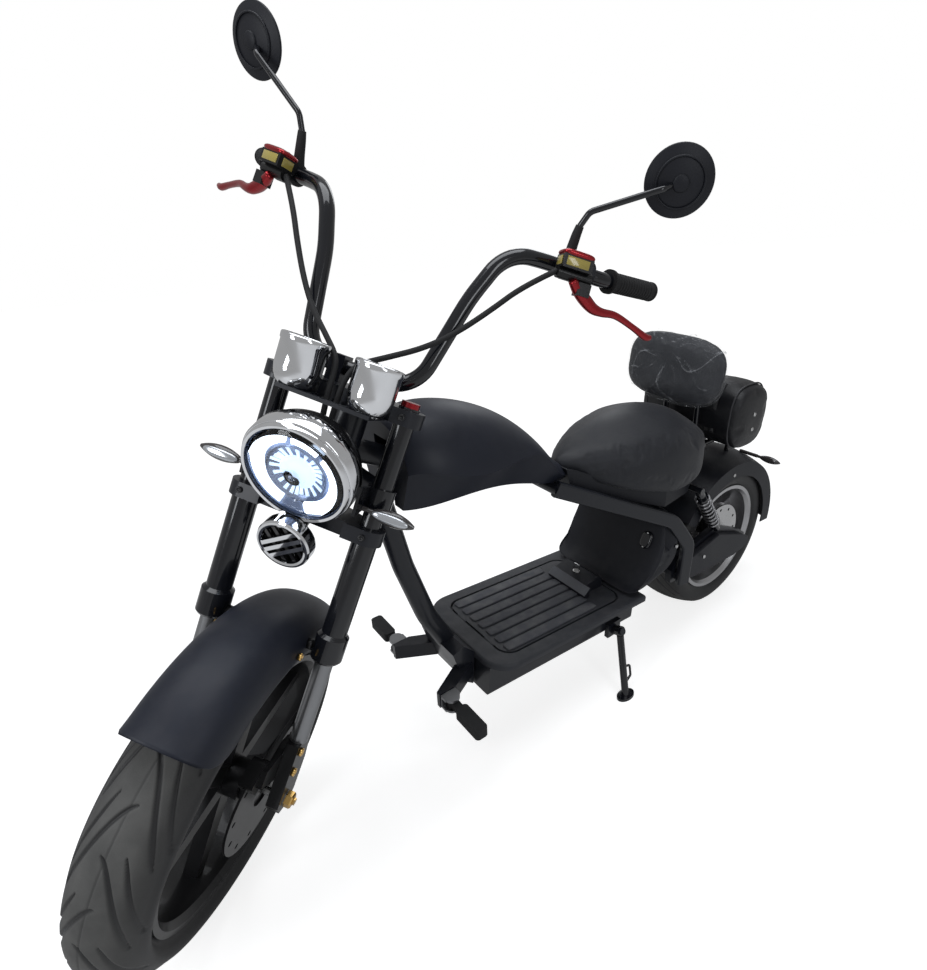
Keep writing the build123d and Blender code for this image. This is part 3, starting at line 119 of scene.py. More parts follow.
def turned(axes, place, direction, roll=(0, 0, 1)):
    """Axes at a place of other axes, with their third axis along a direction of those axes."""
    basis = np.array(axes[1:])
    out = unit(np.asarray(direction, float) @ basis)
    across = unit(np.cross(np.asarray(roll, float) @ basis, out))
    return lay(axes, np.asarray(place, float)), across, np.cross(out, across), out


# Surfaces

def closed_grid(rows, columns, wrap_rows, wrap_columns):
    """Quads between neighbouring points of a grid, joined round where an edge wraps."""
    i = np.arange(rows if wrap_rows else rows - 1)[:, None]
    j = np.arange(columns if wrap_columns else columns - 1)[None, :]
    i, j = np.broadcast_arrays(i, j)
    right = (j + 1) % columns
    below = (i + 1) % rows
    quads = np.stack([
        i * columns + j, i * columns + right, below * columns + right, below * columns + j,
    ], axis=-1)
    return quads.reshape(-1, 4)


def capped(rings, around):
    """Faces of a tube of closed rings, with a face over each end."""
    faces = list(closed_grid(rings, around, False, True))
    faces.append(np.arange(around)[::-1])
    faces.append(np.arange(around) + (rings - 1) * around)
    return faces


def linked(name, data):
    """A new object of this data, in the scene."""
    obj = bpy.data.objects.new(name, data)
    bpy.context.scene.collection.objects.link(obj)
    return obj


def piece(name, points, faces, body, smooth=True):
    """An object from an array of points and a list of faces, riding on a CAD body."""
    mesh = bpy.data.meshes.new(name)
    mesh.from_pydata(np.asarray(points).reshape(-1, 3).tolist(), [], [list(map(int, f)) for f in faces])
    mesh.update()
    mesh.validate()
    obj = linked(name, mesh)
    outward(obj)
    mesh.polygons.foreach_set("use_smooth", np.full(len(mesh.polygons), smooth))
    if body:
        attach(obj, body)
    return obj


def outward(obj):
    """Merges doubled points and turns all faces outwards."""
    bpy.ops.object.select_all(action="DESELECT")
    bpy.context.view_layer.objects.active = obj
    obj.select_set(True)
    bpy.ops.object.mode_set(mode="EDIT")
    bpy.ops.mesh.select_all(action="SELECT")
    bpy.ops.mesh.remove_doubles(threshold=1e-6)
    bpy.ops.mesh.normals_make_consistent(inside=False)
    bpy.ops.object.mode_set(mode="OBJECT")


def many(shapes):
    """Several (points, faces) joined into one pair."""
    points = []
    faces = []
    count = 0
    for shape_points, shape_faces in shapes:
        shape_points = np.asarray(shape_points).reshape(-1, 3)
        points.append(shape_points)
        faces.extend([np.asarray(face) + count for face in shape_faces])
        count += len(shape_points)
    return np.concatenate(points), faces


def lathe(axes, profile, around=48):
    """A profile of (radius, height) turned about the third axis: point = height up, radius round."""
    profile = np.asarray(profile, float)
    angle = np.linspace(0, 2 * np.pi, around, endpoint=False)
    radius = np.maximum(profile[:, 0], 1e-5)
    ring = np.stack([
        radius[:, None] * np.cos(angle), radius[:, None] * np.sin(angle),
        np.broadcast_to(profile[:, 1:2], (len(profile), around)),
    ], axis=-1)
    return lay(axes, ring).reshape(-1, 3), capped(len(profile), around)


def hoop(axes, profile, around=96, start=0.0, span=2 * np.pi):
    """A closed profile of (radius, height) carried round the third axis, whole or part of the way."""
    profile = np.asarray(profile, float)
    whole = span > 6.28
    angle = start + np.linspace(0, span, around, endpoint=not whole)
    ring = np.stack([
        profile[None, :, 0] * np.cos(angle)[:, None], profile[None, :, 0] * np.sin(angle)[:, None],
        np.broadcast_to(profile[None, :, 1], (around, len(profile))),
    ], axis=-1)
    faces = closed_grid(around, len(profile), True, True) if whole else capped(around, len(profile))
    return lay(axes, ring).reshape(-1, 3), list(faces)


def pipe(path, radius, around=12, hint=(0.31, 0.52, 0.79), closed=False):
    """A circle carried along a path: each ring lies across the path's tangent."""
    path = np.asarray(path, float)
    radius = np.broadcast_to(np.asarray(radius, float), (len(path),))
    if closed:
        tangent = np.roll(path, -1, axis=0) - np.roll(path, 1, axis=0)
    else:
        tangent = np.gradient(path, axis=0)
    tangent /= np.linalg.norm(tangent, axis=1)[:, None]
    hint = np.asarray(hint, float)
    normal = hint - (tangent @ hint)[:, None] * tangent
    normal /= np.linalg.norm(normal, axis=1)[:, None]
    across = np.cross(tangent, normal)
    angle = np.linspace(0, 2 * np.pi, around, endpoint=False)
    ring = np.cos(angle)[None, :, None] * normal[:, None] + np.sin(angle)[None, :, None] * across[:, None]
    points = path[:, None] + radius[:, None, None] * ring
    faces = closed_grid(len(path), around, True, True) if closed else capped(len(path), around)
    return points.reshape(-1, 3), list(faces)


def through(points, count, closed=False):
    """A Catmull-Rom curve through points, read at count even steps of its parameter."""
    points = np.asarray(points, float)
    if closed:
        padded = np.concatenate([points[-1:], points, points[:2]])
        run = np.linspace(0, len(points), count, endpoint=False)
    else:
        ends = [2 * points[:1] - points[1:2], points, 2 * points[-1:] - points[-2:-1]]
        padded = np.concatenate(ends)
        run = np.linspace(0, len(points) - 1, count)
    first = np.minimum(run.astype(int), len(padded) - 4)
    t = (run - first)[:, None]
    a, b, c, d = (padded[first + k] for k in range(4))
    return 0.5 * (
        2 * b + (c - a) * t + (2 * a - 5 * b + 4 * c - d) * t ** 2 + (3 * b - a - 3 * c + d) * t ** 3
    )


def faired(at, stations, values, width=0.12):
    """A table of values read at any station, with its corners eased by a running mean."""
    stations = np.asarray(stations, float)
    dense = np.linspace(stations.min(), stations.max(), 600)
    order = np.argsort(stations)
    line = np.interp(dense, stations[order], np.asarray(values, float)[order])
    reach = int(600 * width / 2)
    kernel = np.ones(2 * reach + 1) / (2 * reach + 1)
    for _ in range(2):
        padded = np.concatenate([
            2 * line[0] - line[reach:0:-1], line, 2 * line[-1] - line[-2:-reach - 2:-1],
        ])
        line = np.convolve(padded, kernel, mode="valid")
    return np.interp(at, dense, line)


def superellipse(angle, power):
    """The unit curve |x|^p + |y|^p = 1, by its angle."""
    c = np.cos(angle)
    s = np.sin(angle)
    e = 2.0 / power
    return np.sign(c) * np.abs(c) ** e, np.sign(s) * np.abs(s) ** e


# Shader node groups, made once

def computed(tree, operation, first, second):
    """A Math node of two sockets or numbers, as its output socket."""
    node = tree.nodes.new("ShaderNodeMath")
    node.operation = operation
    for socket, value in zip(node.inputs, (first, second)):
        if isinstance(value, float):
            socket.default_value = value
        else:
            tree.links.new(value, socket)
    return node.outputs["Value"]


def new_group(name, inputs, outputs):
    """An empty shader group with named sockets, and its input and output nodes."""
    group = bpy.data.node_groups.new(name, "ShaderNodeTree")
    for socket, kind, default in inputs:
        made = group.interface.new_socket(socket, in_out="INPUT", socket_type=kind)
        if default is not None:
            made.default_value = default
    for socket, kind in outputs:
        group.interface.new_socket(socket, in_out="OUTPUT", socket_type=kind)
    return group, group.nodes.new("NodeGroupInput"), group.nodes.new("NodeGroupOutput")


def grain_group():
    """Fine moulded or painted grain: two noises as a height, and a slow mottling mask."""
    group, given, result = new_group("Surface grain", [
        ("Vector", "NodeSocketVector", None), ("Scale", "NodeSocketFloat", 400.0),
        ("Mottle scale", "NodeSocketFloat", 12.0),
    ], [("Height", "NodeSocketFloat"), ("Mottle", "NodeSocketFloat")])
    fine = group.nodes.new("ShaderNodeTexNoise")
    fine.inputs["Detail"].default_value = 4.0
    slow = group.nodes.new("ShaderNodeTexNoise")
    slow.inputs["Detail"].default_value = 5.0
    link = group.links.new
    link(given.outputs["Vector"], fine.inputs["Vector"])
    link(given.outputs["Scale"], fine.inputs["Scale"])
    link(given.outputs["Vector"], slow.inputs["Vector"])
    link(given.outputs["Mottle scale"], slow.inputs["Scale"])
    link(fine.outputs["Fac"], result.inputs["Height"])
    link(slow.outputs["Fac"], result.inputs["Mottle"])
    return group


def dust_group():
    """Dust that settles on faces turned upwards, broken up by a noise."""
    group, given, result = new_group("Settled dust", [
        ("Vector", "NodeSocketVector", None), ("Amount", "NodeSocketFloat", 0.3),
    ], [("Mask", "NodeSocketFloat")])
    geometry = group.nodes.new("ShaderNodeNewGeometry")
    apart = group.nodes.new("ShaderNodeSeparateXYZ")
    noise = group.nodes.new("ShaderNodeTexNoise")
    noise.inputs["Scale"].default_value = 30.0
    noise.inputs["Detail"].default_value = 8.0
    spread = group.nodes.new("ShaderNodeMapRange")
    spread.inputs["From Min"].default_value = 0.2
    spread.inputs["From Max"].default_value = 1.0
    speckle = group.nodes.new("ShaderNodeMapRange")
    speckle.inputs["From Min"].default_value = 0.4
    speckle.inputs["From Max"].default_value = 0.75
    link = group.links.new
    link(geometry.outputs["Normal"], apart.inputs["Vector"])
    link(apart.outputs["Z"], spread.inputs["Value"])
    link(given.outputs["Vector"], noise.inputs["Vector"])
    link(noise.outputs["Fac"], speckle.inputs["Value"])
    settled = computed(group, "MULTIPLY", spread.outputs["Result"], speckle.outputs["Result"])
    link(computed(group, "MULTIPLY", settled, given.outputs["Amount"]), result.inputs["Mask"])
    return group


def hide_group():
    """Leather pebbles and creases: cell edges with a stretched noise."""
    group, given, result = new_group("Leather hide", [
        ("Vector", "NodeSocketVector", None), ("Pebble scale", "NodeSocketFloat", 500.0),
        ("Crease scale", "NodeSocketFloat", 20.0), ("Crease", "NodeSocketFloat", 0.4),
    ], [("Height", "NodeSocketFloat"), ("Shade", "NodeSocketFloat")])
    cells = group.nodes.new("ShaderNodeTexVoronoi")
    cells.feature = "DISTANCE_TO_EDGE"
    creases = group.nodes.new("ShaderNodeTexNoise")
    creases.inputs["Detail"].default_value = 6.0
    creases.inputs["Distortion"].default_value = 1.2
    link = group.links.new
    link(given.outputs["Vector"], cells.inputs["Vector"])
    link(given.outputs["Pebble scale"], cells.inputs["Scale"])
    link(given.outputs["Vector"], creases.inputs["Vector"])
    link(given.outputs["Crease scale"], creases.inputs["Scale"])
    weighed = computed(group, "MULTIPLY", creases.outputs["Fac"], given.outputs["Crease"])
    link(computed(group, "ADD", cells.outputs["Distance"], weighed), result.inputs["Height"])
    link(creases.outputs["Fac"], result.inputs["Shade"])
    return group


# Finishes

def group_node(tree, group, **values):
    """A group placed in a material on Object coordinates, with its own values."""
    node = tree.nodes.new("ShaderNodeGroup")
    node.node_tree = group
    where = tree.nodes.new("ShaderNodeTexCoord")
    tree.links.new(where.outputs["Object"], node.inputs["Vector"])
    for name, value in values.items():
        node.inputs[name.replace("_", " ")].default_value = value
    return node


def mixed(tree, factor, first, second):
    """A colour mixed from two by a factor socket."""
    node = tree.nodes.new("ShaderNodeMix")
    node.data_type = "RGBA"
    tree.links.new(factor, node.inputs["Factor"])
    for index, colour in ((6, first), (7, second)):
        if isinstance(colour, tuple):
            node.inputs[index].default_value = (*colour, 1.0)
        else:
            tree.links.new(colour, node.inputs[index])
    return node.outputs[2]


def ranged(tree, value, low, high):
    """A mask from 0 to 1 brought to a range."""
    node = tree.nodes.new("ShaderNodeMapRange")
    node.inputs["To Min"].default_value = low
    node.inputs["To Max"].default_value = high
    tree.links.new(value, node.inputs["Value"])
    return node.outputs["Result"]


def bumped(tree, shader, height, strength, distance):
    """A Bump node from a height to the shader's normal."""
    bump = tree.nodes.new("ShaderNodeBump")
    bump.inputs["Strength"].default_value = strength
    bump.inputs["Distance"].default_value = distance
    tree.links.new(height, bump.inputs["Height"])
    tree.links.new(bump.outputs["Normal"], shader.inputs["Normal"])


def blank(name):
    """A new node material and its shader."""
    material = bpy.data.materials.new(name)
    material.use_nodes = True
    return material, material.node_tree, material.node_tree.nodes["Principled BSDF"]


def coated(name, colour, rough, grain=600.0, bump=0.05, metal=0.0, coat=0.0, dust=0.0,
           spread=0.06, specular=0.3):
    """Paint, plastic or metal: mottled colour, grain in the bump, dust on top."""
    material, tree, shader = blank(name)
    surface = group_node(tree, GROUPS["grain"], Scale=grain)
    shade = tuple(0.8 * c for c in colour)
    light = tuple(min(1.0, 1.18 * c + 0.002) for c in colour)
    tint = mixed(tree, surface.outputs["Mottle"], shade, light)
    if dust:
        settled = group_node(tree, GROUPS["dust"], Amount=dust)
        tint = mixed(tree, settled.outputs["Mask"], tint, (0.30, 0.29, 0.28))
    tree.links.new(tint, shader.inputs["Base Color"])
    low, high = max(0.02, rough - spread), min(1.0, rough + spread)
    tree.links.new(
        ranged(tree, surface.outputs["Mottle"], low, high), shader.inputs["Roughness"]
    )
    shader.inputs["Metallic"].default_value = metal
    shader.inputs["Coat Weight"].default_value = coat
    shader.inputs["Coat Roughness"].default_value = 0.06
    shader.inputs["Specular IOR Level"].default_value = specular
    bumped(tree, shader, surface.outputs["Height"], bump, 0.0006)
    return material


def hide(name, colour, rough, pebble, crease, bump, crease_scale=20.0, sheen=0.0):
    """Leather or vinyl: pebbled, with slow creases that change its shade."""
    material, tree, shader = blank(name)
    skin = group_node(
        tree, GROUPS["hide"], Pebble_scale=pebble, Crease=crease, Crease_scale=crease_scale
    )
    tint = mixed(
        tree, skin.outputs["Shade"], tuple(0.65 * c for c in colour), tuple(1.35 * c for c in colour)
    )
    tree.links.new(tint, shader.inputs["Base Color"])
    tree.links.new(
        ranged(tree, skin.outputs["Shade"], rough - 0.1, rough + 0.12), shader.inputs["Roughness"]
    )
    shader.inputs["Sheen Weight"].default_value = sheen
    shader.inputs["Specular IOR Level"].default_value = 0.4
    bumped(tree, shader, skin.outputs["Height"], bump, 0.0012)
    return material


def glow(name, colour, strength):
    """A lit surface with a faint uneven glow."""
    material, tree, shader = blank(name)
    surface = group_node(tree, GROUPS["grain"], Scale=60.0)
    tint = mixed(tree, surface.outputs["Mottle"], tuple(0.92 * c for c in colour), colour)
    tree.links.new(tint, shader.inputs["Emission Color"])
    tree.links.new(tint, shader.inputs["Base Color"])
    shader.inputs["Emission Strength"].default_value = strength
    return material


def clear(name, colour, rough):
    """Clear glass with a faintly uneven surface."""
    material, tree, shader = blank(name)
    surface = group_node(tree, GROUPS["grain"], Scale=80.0)
    tint = mixed(tree, surface.outputs["Mottle"], tuple(0.95 * c for c in colour), colour)
    tree.links.new(tint, shader.inputs["Base Color"])
    shader.inputs["Roughness"].default_value = rough
    shader.inputs["Transmission Weight"].default_value = 1.0
    shader.inputs["IOR"].default_value = 1.45
    bumped(tree, shader, surface.outputs["Height"], 0.02, 0.0005)
    return material


def film():
    """Crinkled clear wrap: mostly see-through, with painted highlights: pale and opaque where the crease
    mask marks its creases and rim.
    """
    material, tree, shader = blank("clear_wrap")
    skin = group_node(
        tree, GROUPS["hide"], Pebble_scale=26.0, Crease=1.5, Crease_scale=14.0
    )
    # Painted highlight: the crease mask raises the alpha, so the pale base colour shows along the creases
    # and the rim.
    crease = tree.nodes.new("ShaderNodeAttribute")
    crease.attribute_name = "crease"
    cloudy = ranged(tree, skin.outputs["Shade"], 0.02, 0.10)
    tree.links.new(computed(tree, "MAXIMUM", cloudy, crease.outputs["Fac"]), shader.inputs["Alpha"])
    tint = mixed(tree, skin.outputs["Shade"], (0.42, 0.44, 0.47), (0.60, 0.61, 0.64))
    tree.links.new(tint, shader.inputs["Base Color"])
    shader.inputs["Roughness"].default_value = 0.12
    shader.inputs["Specular IOR Level"].default_value = 0.8
    bumped(tree, shader, skin.outputs["Height"], 0.9, 0.006)
    return material


def tread_finish():
    """Tyre rubber: dusty grey on the crown, dark in the grooves and on the walls."""
    material, tree, shader = blank("tyre_tread")
    surface = group_node(tree, GROUPS["grain"], Scale=500.0, Mottle_scale=22.0)
    worn = tree.nodes.new("ShaderNodeAttribute")
    worn.attribute_name = "worn"
    dust = mixed(
        tree, surface.outputs["Mottle"], (0.05, 0.05, 0.049), (0.15, 0.148, 0.142)
    )
    tint = mixed(tree, worn.outputs["Fac"], (0.014, 0.014, 0.015), dust)
    tree.links.new(tint, shader.inputs["Base Color"])
    tree.links.new(ranged(tree, worn.outputs["Fac"], 0.55, 0.85), shader.inputs["Roughness"])
    bumped(tree, shader, surface.outputs["Height"], 0.25, 0.0008)
    return material


GROUPS = {}
FINISHES = {}


# Tyres

def tyre_section(radius, half_width, bead, rim_half, shoulder_drop, rows):
    """Outer line of a tyre from one bead over the crown to the other, as (radius, side)."""
    crown_half = half_width - 5e-3
    crown = (crown_half ** 2 + shoulder_drop ** 2) / (2 * shoulder_drop)
    side = np.linspace(-crown_half, crown_half, rows)
    over = radius - crown + np.sqrt(crown ** 2 - side ** 2)
    wall_foot = np.array([rim_half + 3e-3, bead + 14e-3])
    shoulder = np.array([crown_half, radius - shoulder_drop])
    belly = np.array([half_width + 1e-3, (wall_foot[1] + shoulder[1]) / 2])
    t = np.linspace(0, 1, 9)[:, None]
    wall = (1 - t) ** 2 * wall_foot + 2 * t * (1 - t) * (2 * belly - (wall_foot + shoulder) / 2)
    wall = wall + t ** 2 * shoulder
    right = wall[:-1]
    left = wall[::-1][1:] * [-1, 1]
    seat = np.array([[rim_half - 4.3e-3, bead], [rim_half - 4.3e-3, bead + 8e-3]])
    line = np.concatenate([
        seat * [-1, 1], (right * [-1, 1]), np.stack([side, over], axis=1), left * [-1, 1], seat[::-1],
    ])
    return line[:, 1], line[:, 0], len(seat) + len(right)


def tread(name, node, centre, axis, sizes, count, depth, lean, body):
    """A tyre as radius(angle, side): its section less curved V grooves and a centre line.

    A groove is a band about the line angle = start + bend * (reach + 0.2) ^ 1.8; the depth
    falls smoothly to nothing at the band's edges and at both of its ends. Long grooves start
    just across the centre line, and short ones near the shoulder.
    """
    rows = 81
    around = 960
    radius, side, first = tyre_section(*sizes, rows)
    angle = np.linspace(0, 2 * np.pi, around, endpoint=False)[:, None]
    half = np.abs(side).max()
    reach = side[None, :] / half
    cut = np.zeros((around, len(radius)))
    pitch = 2 * np.pi / count
    spans = ((0.0, -0.14, 0.80, 1.0), (0.42, 0.34, 0.93, 0.8))
    for sign in (-1, 1):
        shift = 0.25 * pitch * sign
        out = sign * reach
        for offset, inner, outer, thick in spans:
            line = lean * np.clip(out + 0.2, 0, 2) ** 1.8 * pitch
            distance = (angle - line - shift + offset * pitch) / pitch
            slope = 1.8 * lean * np.clip(out + 0.2, 0, 2) ** 0.8 * pitch * sizes[0] / half
            distance = np.abs(distance - np.round(distance)) * pitch * sizes[0] / np.hypot(1, slope)
            taper = np.clip((out - inner) / 0.16, 0, 1) * np.clip((outer - out) / 0.10, 0, 1)
            width = 0.0026 * thick * np.sqrt(taper) + 1e-6
            cut = np.maximum(cut, np.clip(1.5 - distance / width, 0, 1) * (taper > 0))
    seam = np.clip(1.5 - np.abs(side) / 0.0011, 0, 1)[None, :] * 0.35
    crown = np.zeros(len(radius))
    crown[first:first + rows] = 1
    cut = np.maximum(cut, seam) * crown
    ring = radius[None, :] - depth * cut
    axes = turned((np.array(centre), *np.eye(3)), (0, 0, 0), axis, (0, 1, 0))
    points = lay(axes, np.stack([
        ring * np.cos(angle), ring * np.sin(angle), np.broadcast_to(side, ring.shape),
    ], axis=-1))
    obj = piece(name, points, closed_grid(around, len(radius), True, True), body)
    dusty = np.clip(1.9 - 2.0 * np.abs(reach), 0.04, 1) * np.where(crown > 0, 1.0, 0.0)
    mask = (np.clip(1 - 1.4 * cut, 0, 1) * dusty).astype(np.float32)
    layer = obj.data.attributes.new("worn", "FLOAT", "POINT")
    layer.data.foreach_set("value", mask.ravel())
    dress(obj, "tread")
    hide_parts(node)
    return obj


def dress(obj, finish):
    """Gives a piece its finish."""
    obj.data.materials.clear()
    obj.data.materials.append(FINISHES[finish])
    return obj


# Soft goods

def puffed(obj, voxel, pressure, cap, frames=20):
    """Blows a closed form up as cloth: remesh, pressure, step, cap each point's move, apply."""
    bpy.context.view_layer.objects.active = obj
    remesh = obj.modifiers.new("remesh", "REMESH")
    remesh.mode = "VOXEL"
    remesh.voxel_size = voxel
    bpy.ops.object.modifier_apply(modifier=remesh.name)
    start = np.empty(len(obj.data.vertices) * 3)
    obj.data.vertices.foreach_get("co", start)
    cloth = obj.modifiers.new("cloth", "CLOTH")
    cloth.settings.use_pressure = True
    cloth.settings.uniform_pressure_force = pressure
    cloth.settings.effector_weights.gravity = 0.0
    cloth.settings.quality = 4
    cloth.collision_settings.use_collision = False
    for step in range(1, frames + 1):
        bpy.context.scene.frame_set(step)
    evaluated = obj.evaluated_get(bpy.context.evaluated_depsgraph_get())
    end = np.empty(len(start))
    evaluated.data.vertices.foreach_get("co", end)
    obj.modifiers.remove(cloth)
    bpy.context.scene.frame_set(1)
    move = (end - start).reshape(-1, 3)
    size = np.linalg.norm(move, axis=1)[:, None]
    move = np.nan_to_num(move * np.minimum(1.0, cap / np.maximum(size, 1e-9)))
    obj.data.vertices.foreach_set("co", (start.reshape(-1, 3) + move).ravel())
    obj.data.update()
    smooth = obj.modifiers.new("smooth", "SUBSURF")
    smooth.levels = 1
    smooth.render_levels = 1
    bpy.ops.object.modifier_apply(modifier=smooth.name)
    obj.data.polygons.foreach_set("use_smooth", np.ones(len(obj.data.polygons), bool))
    return obj


SEAT_TABLE = np.array([
    # ahead, base half, base, widest half, widest height, top, crease height
    (0.602, 0.026, 0.598, 0.030, 0.612, 0.640, 0.626),
    (0.560, 0.050, 0.580, 0.058, 0.600, 0.648, 0.628),
    (0.500, 0.084, 0.556, 0.096, 0.580, 0.664, 0.632),
    (0.440, 0.112, 0.534, 0.124, 0.562, 0.682, 0.640),
    (0.330, 0.136, 0.502, 0.147, 0.536, 0.694, 0.646),
    (0.230, 0.132, 0.504, 0.142, 0.540, 0.674, 0.636),
    (0.158, 0.104, 0.532, 0.112, 0.562, 0.642, 0.618),
])


def seat_surface():
    """Seat as point(station, turn): low steep sides that fold over a soft crease to a dished top.

    Each section is a closed line through its base, its widest point, its crease and its top,
    with a cosine between them, and all sections shrink towards both ends.
    """
    rows = 110
    run = np.linspace(0, 1, rows)
    ahead = 0.154 + (0.604 - 0.154) * run
    column = [faired(ahead, SEAT_TABLE[:, 0], SEAT_TABLE[:, k], 0.14)[:, None] for k in range(1, 7)]
    base_half, base, wide_half, wide, top, fold = column
    middle = (base + fold) / 2
    shut = (np.clip(1 - np.abs(2 * run - 1) ** 10, 0, 1) ** 0.5)[:, None]
    u = np.linspace(0, 1, 15)[None, :]
    ease = (1 - np.cos(np.pi * u)) / 2
    rising = np.sin(np.pi / 2 * u)
    falling = 1 - np.cos(np.pi / 2 * u)
    low = np.stack([base_half * rising ** 0.7, base + 0.004 * ease ** 2], -1)
    side = np.stack([base_half + (wide_half - base_half) * rising, base + (wide - base) * u], -1)
    fold_half = 0.90 * wide_half
    flank = np.stack([wide_half + (fold_half - wide_half) * falling, wide + (fold - wide) * rising], -1)
    across = 1 - rising
    crown = (1 - across ** 2.3) - 0.10 * np.exp(-((across - 0.55) / 0.25) ** 2)
    roof = np.stack([fold_half * across, fold + (top - fold) * crown], -1)
    half = np.concatenate([low[:, :-1], side[:, :-1], flank[:, :-1], roof], axis=1)
    other = half[:, -2:0:-1] * [-1, 1]
    loop = np.concatenate([half, other], axis=1)
    for _ in range(3):
        loop = 0.25 * np.roll(loop, 1, axis=1) + 0.5 * loop + 0.25 * np.roll(loop, -1, axis=1)
    side_way = loop[..., 0] * shut
    height = middle + (loop[..., 1] - middle) * (0.25 + 0.75 * shut)
    points = np.stack([np.broadcast_to(ahead[:, None], side_way.shape), side_way, height], axis=-1)
    count = points.shape[1]
    return bike(points), capped(rows, count)


def pillow(place, half_width, half_height, half_depth, power, edge, rows=70, around=200):
    """A cushion as point(u, v): a superellipse outline, domed on both faces by sqrt(1 - r ^ edge)."""
    reach = np.sin(np.linspace(0, np.pi / 2, rows))[:, None]
    angle = np.linspace(0, 2 * np.pi, around, endpoint=False)
    c, s = superellipse(angle, power)
    depth = half_depth * np.sqrt(np.clip(1 - reach ** edge, 0, 1))
    across = half_width * reach * c
    up = half_height * reach * s
    face = np.stack([np.broadcast_to(depth, across.shape), across, up], axis=-1)
    back = face[::-1] * [-1, 1, 1]
    both = np.concatenate([face, back[1:]])
    faces = list(closed_grid(len(both), around, False, True))
    faces.append(np.arange(around))
    faces.append(np.arange(around)[::-1] + (len(both) - 1) * around)
    return lay(place, both), faces


def tilted(place, degrees):
    """The bike's axes moved to a place of the bike and pitched about its left."""
    ahead, left, up = BIKE[1:]
    turn = math.radians(degrees)
    forward = math.cos(turn) * ahead - math.sin(turn) * up
    return bike(place), forward, left, np.cross(forward, left)


BACK_PLACE = tilted((0.195, 0.0, 0.764), -8.0)


def wrap_ridges(local):
    """How high the wrap's creases stand: ridges that run out from one gathered point.

    Each set is (1 - |sin(n * angle / 2 + phase + bend)|) ^ k about a point high on the front.
    """
    forward, left, up = BACK_PLACE[1:]
    depth, side, rise = local @ forward, local @ left, local @ up
    angle = np.arctan2(rise - 0.038, side + 0.012)
    reach = np.hypot(side + 0.012, rise - 0.038) / 0.12
    ridge = np.zeros(len(local))
    sets = ((5, 0.4, 1.0, 14), (9, 1.7, 0.9, 16), (14, 2.9, 0.7, 14), (23, 0.2, 0.4, 9))
    for number, phase, size, sharp in sets:
        bend = 0.8 * np.sin(5 * reach + number)
        ridge += size * (1 - np.abs(np.sin(number * angle / 2 + phase + bend))) ** sharp
    return depth, ridge * np.clip(reach * 3, 0, 1) * np.clip(1.5 - reach, 0, 1) ** 0.3


def backrest_film():
    """Clear wrap as the backrest's outline a little larger, pushed out along its creases, with a painted
    highlight mask along its creases and rim.
    """
    points, faces = pillow(BACK_PLACE, 0.1455, 0.0885, 0.0300, 3.0, 3.2)
    origin, forward = BACK_PLACE[:2]
    local = points.reshape(-1, 3) - origin
    depth, ridge = wrap_ridges(local)
    push = 0.0016 * np.clip(ridge, 0, 1.2)
    moved = local + (np.sign(depth) * push)[:, None] * forward
    wrap = piece("backrest_wrap", moved + origin, faces, "chassis")
    places = np.empty(len(wrap.data.vertices) * 3)
    wrap.data.vertices.foreach_get("co", places)
    depth, ridge = wrap_ridges(places.reshape(-1, 3) - origin)
    # Painted highlight: the crease attribute marks where the clear wrap turns pale and opaque, along its
    # crease ridges and round its rim.
    edge = np.clip((0.012 - np.abs(depth)) / 0.012, 0, 1)
    layer = wrap.data.attributes.new("crease", "FLOAT", "POINT")
    mask = np.clip(0.75 * ridge - 0.25, 0, 0.5) + 0.12 * edge
    layer.data.foreach_set("value", mask.astype(np.float32))
    dress(wrap, "film")


def bag_form():
    """Bag as point(along, angle): a barrel across the bike, squarer below and slumped at its ends."""
    rows = 70
    around = 110
    run = np.linspace(-1, 1, rows)[:, None]
    angle = np.linspace(0, 2 * np.pi, around, endpoint=False)
    c, s = superellipse(angle, 3.0)
    c, s = c[None, :], s[None, :]
    ends = np.clip(1 - np.abs(run) ** 10, 0, 1) ** 0.5
    ends = 0.86 * ends ** 0.35 + 0.14 * ends
    slump = 0.006 * np.abs(run) ** 3 + 0.004 * np.cos(7 * run)
    ahead = BAG_MIDDLE[0] + 0.0735 * c * ends
    height = BAG_MIDDLE[1] + (0.0825 * s - slump * np.clip(s, 0, 1)) * ends
    side = 0.149 * np.sin(run * np.pi / 2) * np.ones_like(c)
    points = np.stack([ahead, side, height], axis=-1)
    return bike(points), capped(rows, around)


# Groups of pieces

def soft_goods():
    """Seat, backrest with its wrap, and the bag with its trim."""
    points, faces = seat_surface()
    seat = piece("seat_pad", points, faces, None)
    puffed(seat, 0.005, 4.0, 0.004)
    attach(seat, "chassis")
    dress(seat, "seat_vinyl")
    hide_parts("seat")

    points, faces = pillow(BACK_PLACE, 0.142, 0.085, 0.026, 3.0, 3.2)
    pad = piece("backrest_pad", points, faces, None)
    puffed(pad, 0.005, 4.0, 0.003)
    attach(pad, "chassis")
    dress(pad, "seat_vinyl")
    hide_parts("backrest")

    backrest_film()

    points, faces = bag_form()
    bag = piece("saddle_bag", points, faces, None)
    puffed(bag, 0.005, 3.0, 0.004)
    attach(bag, "chassis")
    dress(bag, "bag_leather")
    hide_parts("rear_bag")
    bag_trim()


